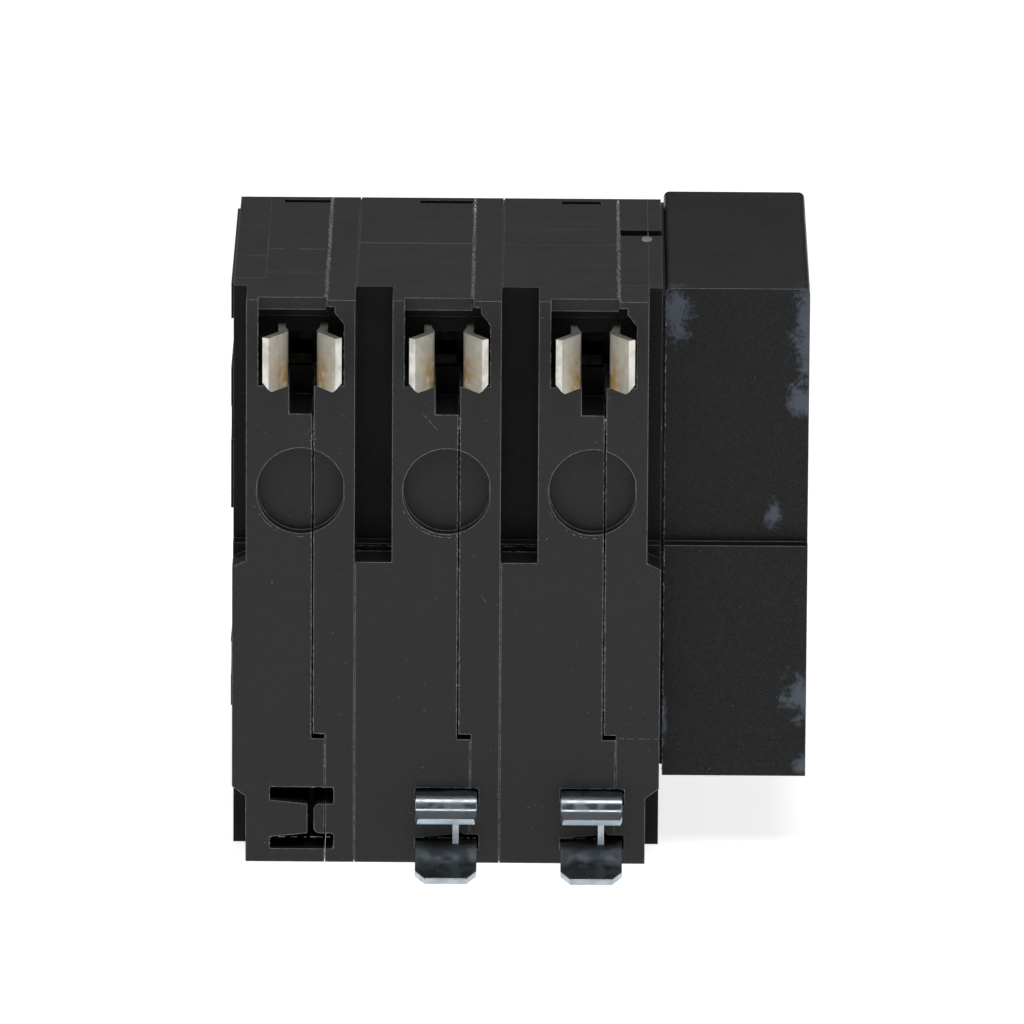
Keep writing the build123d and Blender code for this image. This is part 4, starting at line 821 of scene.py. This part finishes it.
def arc_corners(x, z, radius, start, end, steps=14):
    """Corners along an arc; angles in degrees, from the right, anticlockwise."""
    turns = [math.radians(start + (end - start) * k / steps) for k in range(steps + 1)]
    return [(x + radius * math.cos(t), z + radius * math.sin(t)) for t in turns]


def fringe_and_rim_highlight_lines(pole):
    centre = CENTRES[pole - 1]
    left, right = centre - POCKET_HALF, centre + POCKET_HALF
    lines = along_corners([
        (centre + STAB_SLOT_LEFT, POCKET_LOW), (left, POCKET_LOW), (left, POCKET_HIGH)], 0)
    lines += along_corners([
        (centre + STAB_SLOT_RIGHT, POCKET_LOW), (right, POCKET_LOW), (right, NOTCH_LOW),
        (centre + NOTCH_LEFT, POCKET_HIGH)], 0)
    seat_left, seat_right = centre + SEAT_LEFT, centre + SEAT_RIGHT
    for low, high in SEAT_MOUTHS:
        lines += along_corners([
            (seat_left, low), (seat_left, high), (seat_right, high), (seat_right, low)], 0)
    # painted highlight: light lines along the lower rim of each round recess
    for radius in [RING_RADIUS + offset for offset in RIM_HIGHLIGHT_OFFSETS]:
        lines += along_corners(arc_corners(centre, RING_MIDDLE, radius, RIM_START, RIM_END), 0)
    return lines


for pole in POLES:
    ridge_piece(
        f"mould_fringe_and_rim_highlight_{pole}", fringe_and_rim_highlight_lines(pole), burr_and_highlight_finish, "case_plastic", 70 + pole,
        width=0.09 * MM, height=0.03 * MM, gaps=0.28, jitter=0.8, step=0.2 * MM)
# Painted highlights across the slot ledges, in the light burr colour.
ledge_highlight_lines = []
for pole in POLES[1:]:
    left = CENTRES[pole - 1] - PITCH / 2 - JOINT_LEFT_OF_HALF + ASIDE
    for level in LEDGE_HIGHLIGHT_LEVELS:
        ledge_highlight_lines += along_corners([(left, level), (left + SLOT_WIDTH - 0.1, level)], LEDGE_DEPTH)
ridge_piece(
    "slot_ledge_highlights", ledge_highlight_lines, burr_and_highlight_finish, "case_plastic", 80,
    width=0.10 * MM, height=0.03 * MM, gaps=0.06, jitter=0.5, step=0.3 * MM)
module_left = (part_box("module_cover")[0].x - ORIGIN.x) / MM
ridge_piece(
    "module_edge_burr",
    along_corners([(module_left + ASIDE, 42.2), (module_left + ASIDE, 75.2)], MODULE_BACK_HIGH)
    + along_corners([(module_left + ASIDE, 11.0), (module_left + ASIDE, 41.6)], MODULE_BACK_LOW),
    burr_and_highlight_finish, "module_plastic", 81,
    width=0.12 * MM, height=0.04 * MM, gaps=0.25, jitter=0.8, step=0.25 * MM)
print("fringes on", len(POLES), "poles, ledge lines", len(ledge_highlight_lines))

# %% [markdown]
# Small accidents finish the back: a drop of lacquer in each pocket's notch, a dab of paint
# on the last cover, and a hair stuck to the middle pole. Drops and dabs are flattened
# domes, closed underneath, with an outline that wobbles a little.

# %% Drops, dab and hair
def dome_piece(name, centre, along, across, outward, finish, seed, rings=4, sides=22):
    """A closed flattened dome; along, across and outward are half-size vectors."""
    draw = random.Random(seed)
    wobble = [1 + 0.08 * draw.uniform(-1, 1) for _ in range(sides)]
    shape = bmesh.new()
    loops = []
    for ring in range(rings):
        lift = math.radians(90 * ring / rings)
        loop = []
        for side in range(sides):
            turn = 2 * math.pi * side / sides
            reach = math.cos(lift) * wobble[side]
            loop.append(shape.verts.new(
                centre + along * (reach * math.cos(turn)) + across * (reach * math.sin(turn))
                + outward * math.sin(lift)))
        loops.append(loop)
    top = shape.verts.new(centre + outward)
    for one, two in zip(loops, loops[1:]):
        for k in range(sides):
            shape.faces.new((one[k], one[(k + 1) % sides], two[(k + 1) % sides], two[k]))
    for k in range(sides):
        shape.faces.new((loops[-1][k], loops[-1][(k + 1) % sides], top))
    shape.faces.new(loops[0][::-1])
    bmesh.ops.recalc_face_normals(shape, faces=shape.faces)
    mesh = bpy.data.meshes.new(name)
    shape.to_mesh(mesh)
    shape.free()
    for face in mesh.polygons:
        face.use_smooth = True
    mesh.materials.append(finish)
    piece = bpy.data.objects.new(name, mesh)
    bpy.context.scene.collection.objects.link(piece)
    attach(piece, "case")


lacquer = moulded_plastic(
    "lacquer_drop", (0.10, 0.062, 0.035), (0.20, 0.14, 0.09), 0.35, relief=0.002)
dab_paint = moulded_plastic(
    "paint_dab", (0.30, 0.30, 0.29), (0.5, 0.5, 0.48), 0.6, relief=0.004)
X, Y, Z = Vector((MM, 0, 0)), Vector((0, MM, 0)), Vector((0, 0, MM))
for pole, centre in zip(POLES, CENTRES):
    dome_piece(
        f"lacquer_drop_{pole}", place(centre + 3.85, 0.9, 75.18), X * 0.42, Y * 0.55, Z * -0.34,
        lacquer, 90 + pole)
dome_piece(
    "paint_dab", place(26.05, 34.0, CASE_HIGH - 0.003), X * 0.75, Y * 1.65, Z * 0.035,
    dab_paint, 94)
scratches = [
    # (x, z) corners of each scratch on the back face
    [(-3.3, 61.0), (-2.4, 60.0), (-1.0, 58.4)], [(-13.9, 60.9), (-13.0, 60.0)],
    [(-18.6, 58.0), (-17.2, 58.9)], [(-17.9, 57.2), (-16.9, 57.4)], [(4.6, 36.5), (5.2, 35.4)],
]
scratch_lines = [line for corners in scratches for line in along_corners(corners, 0)]
scratch_lines += along_corners([(22.5, 17.05), (27.9, 17.05)], 0)
ridge_piece(
    "back_scratches", scratch_lines, burr_and_highlight_finish, "case_plastic", 96,
    width=0.10 * MM, height=0.02 * MM, gaps=0.05, jitter=0.6, step=0.15 * MM)
hair = [(-6.6, 5.5), (-6.1, 6.2), (-5.5, 6.7), (-4.9, 6.9), (-4.4, 6.7)]
ridge_piece(
    "stuck_hair", along_corners(hair, 0), burr_and_highlight_finish, "case_plastic", 95,
    width=0.05 * MM, height=0.04 * MM, gaps=0.0, jitter=0.1, step=0.15 * MM)
print("drops", len(POLES), "scratch lines", len(scratch_lines), "and one dab, one hair")

# %% Insert lines on the line end
INSERT_LINES = [
    # from x, to x, depth, strength
    (-28.0, -23.9, 11.6, 1.0),
    (-28.0, -23.9, 40.0, 0.8), (-28.0, -23.9, 23.7, 1.0), (-23.9, -15.8, 47.9, 0.7),
    (-23.9, -15.8, 27.3, 1.5), (-23.9, -15.8, 14.8, 1.1), (-15.6, -12.05, 44.4, 0.5),
    (-15.6, -12.05, 26.3, 0.7), (-11.9, 3.2, 39.5, 0.6), (-11.9, 3.2, 30.9, 1.6),
    (-6.0, 3.2, 19.8, 0.6), (3.4, 6.98, 44.1, 0.5), (3.4, 6.98, 26.3, 0.5),
    (7.15, 22.2, 50.0, 0.4), (7.15, 22.2, 39.0, 0.9), (7.15, 22.2, 30.4, 0.8),
    (13.0, 22.2, 19.8, 0.7), (22.4, 28.0, 22.9, 0.6), (22.4, 28.0, 8.7, 0.9),
]
LINE_LOW = CASE_HIGH - 0.005
for index, (x0, x1, depth, strength) in enumerate(INSERT_LINES):
    ridge_piece(
        f"insert_line_{index + 1}",
        [(place(x0, depth, LINE_LOW), place(x1, depth, LINE_LOW), LINE_END)],
        line_finish, "case_plastic", 40 + index,
        width=0.12 * strength * MM, height=0.03 * strength * MM, gaps=0.03, jitter=0.4,
        step=0.5 * MM)
ridge_piece(
    "insert_edges",
    [(place(-23.9, 11.6, LINE_LOW), place(-23.9, SHOULDER, LINE_LOW), LINE_END),
     (place(26.2, 1.0, LINE_LOW), place(26.2, SHOULDER, LINE_LOW), LINE_END)],
    line_finish, "case_plastic", 60,
    width=0.12 * MM, height=0.04 * MM, gaps=0.0, jitter=0.25, step=0.5 * MM)
print("insert lines", len(INSERT_LINES) + 2)
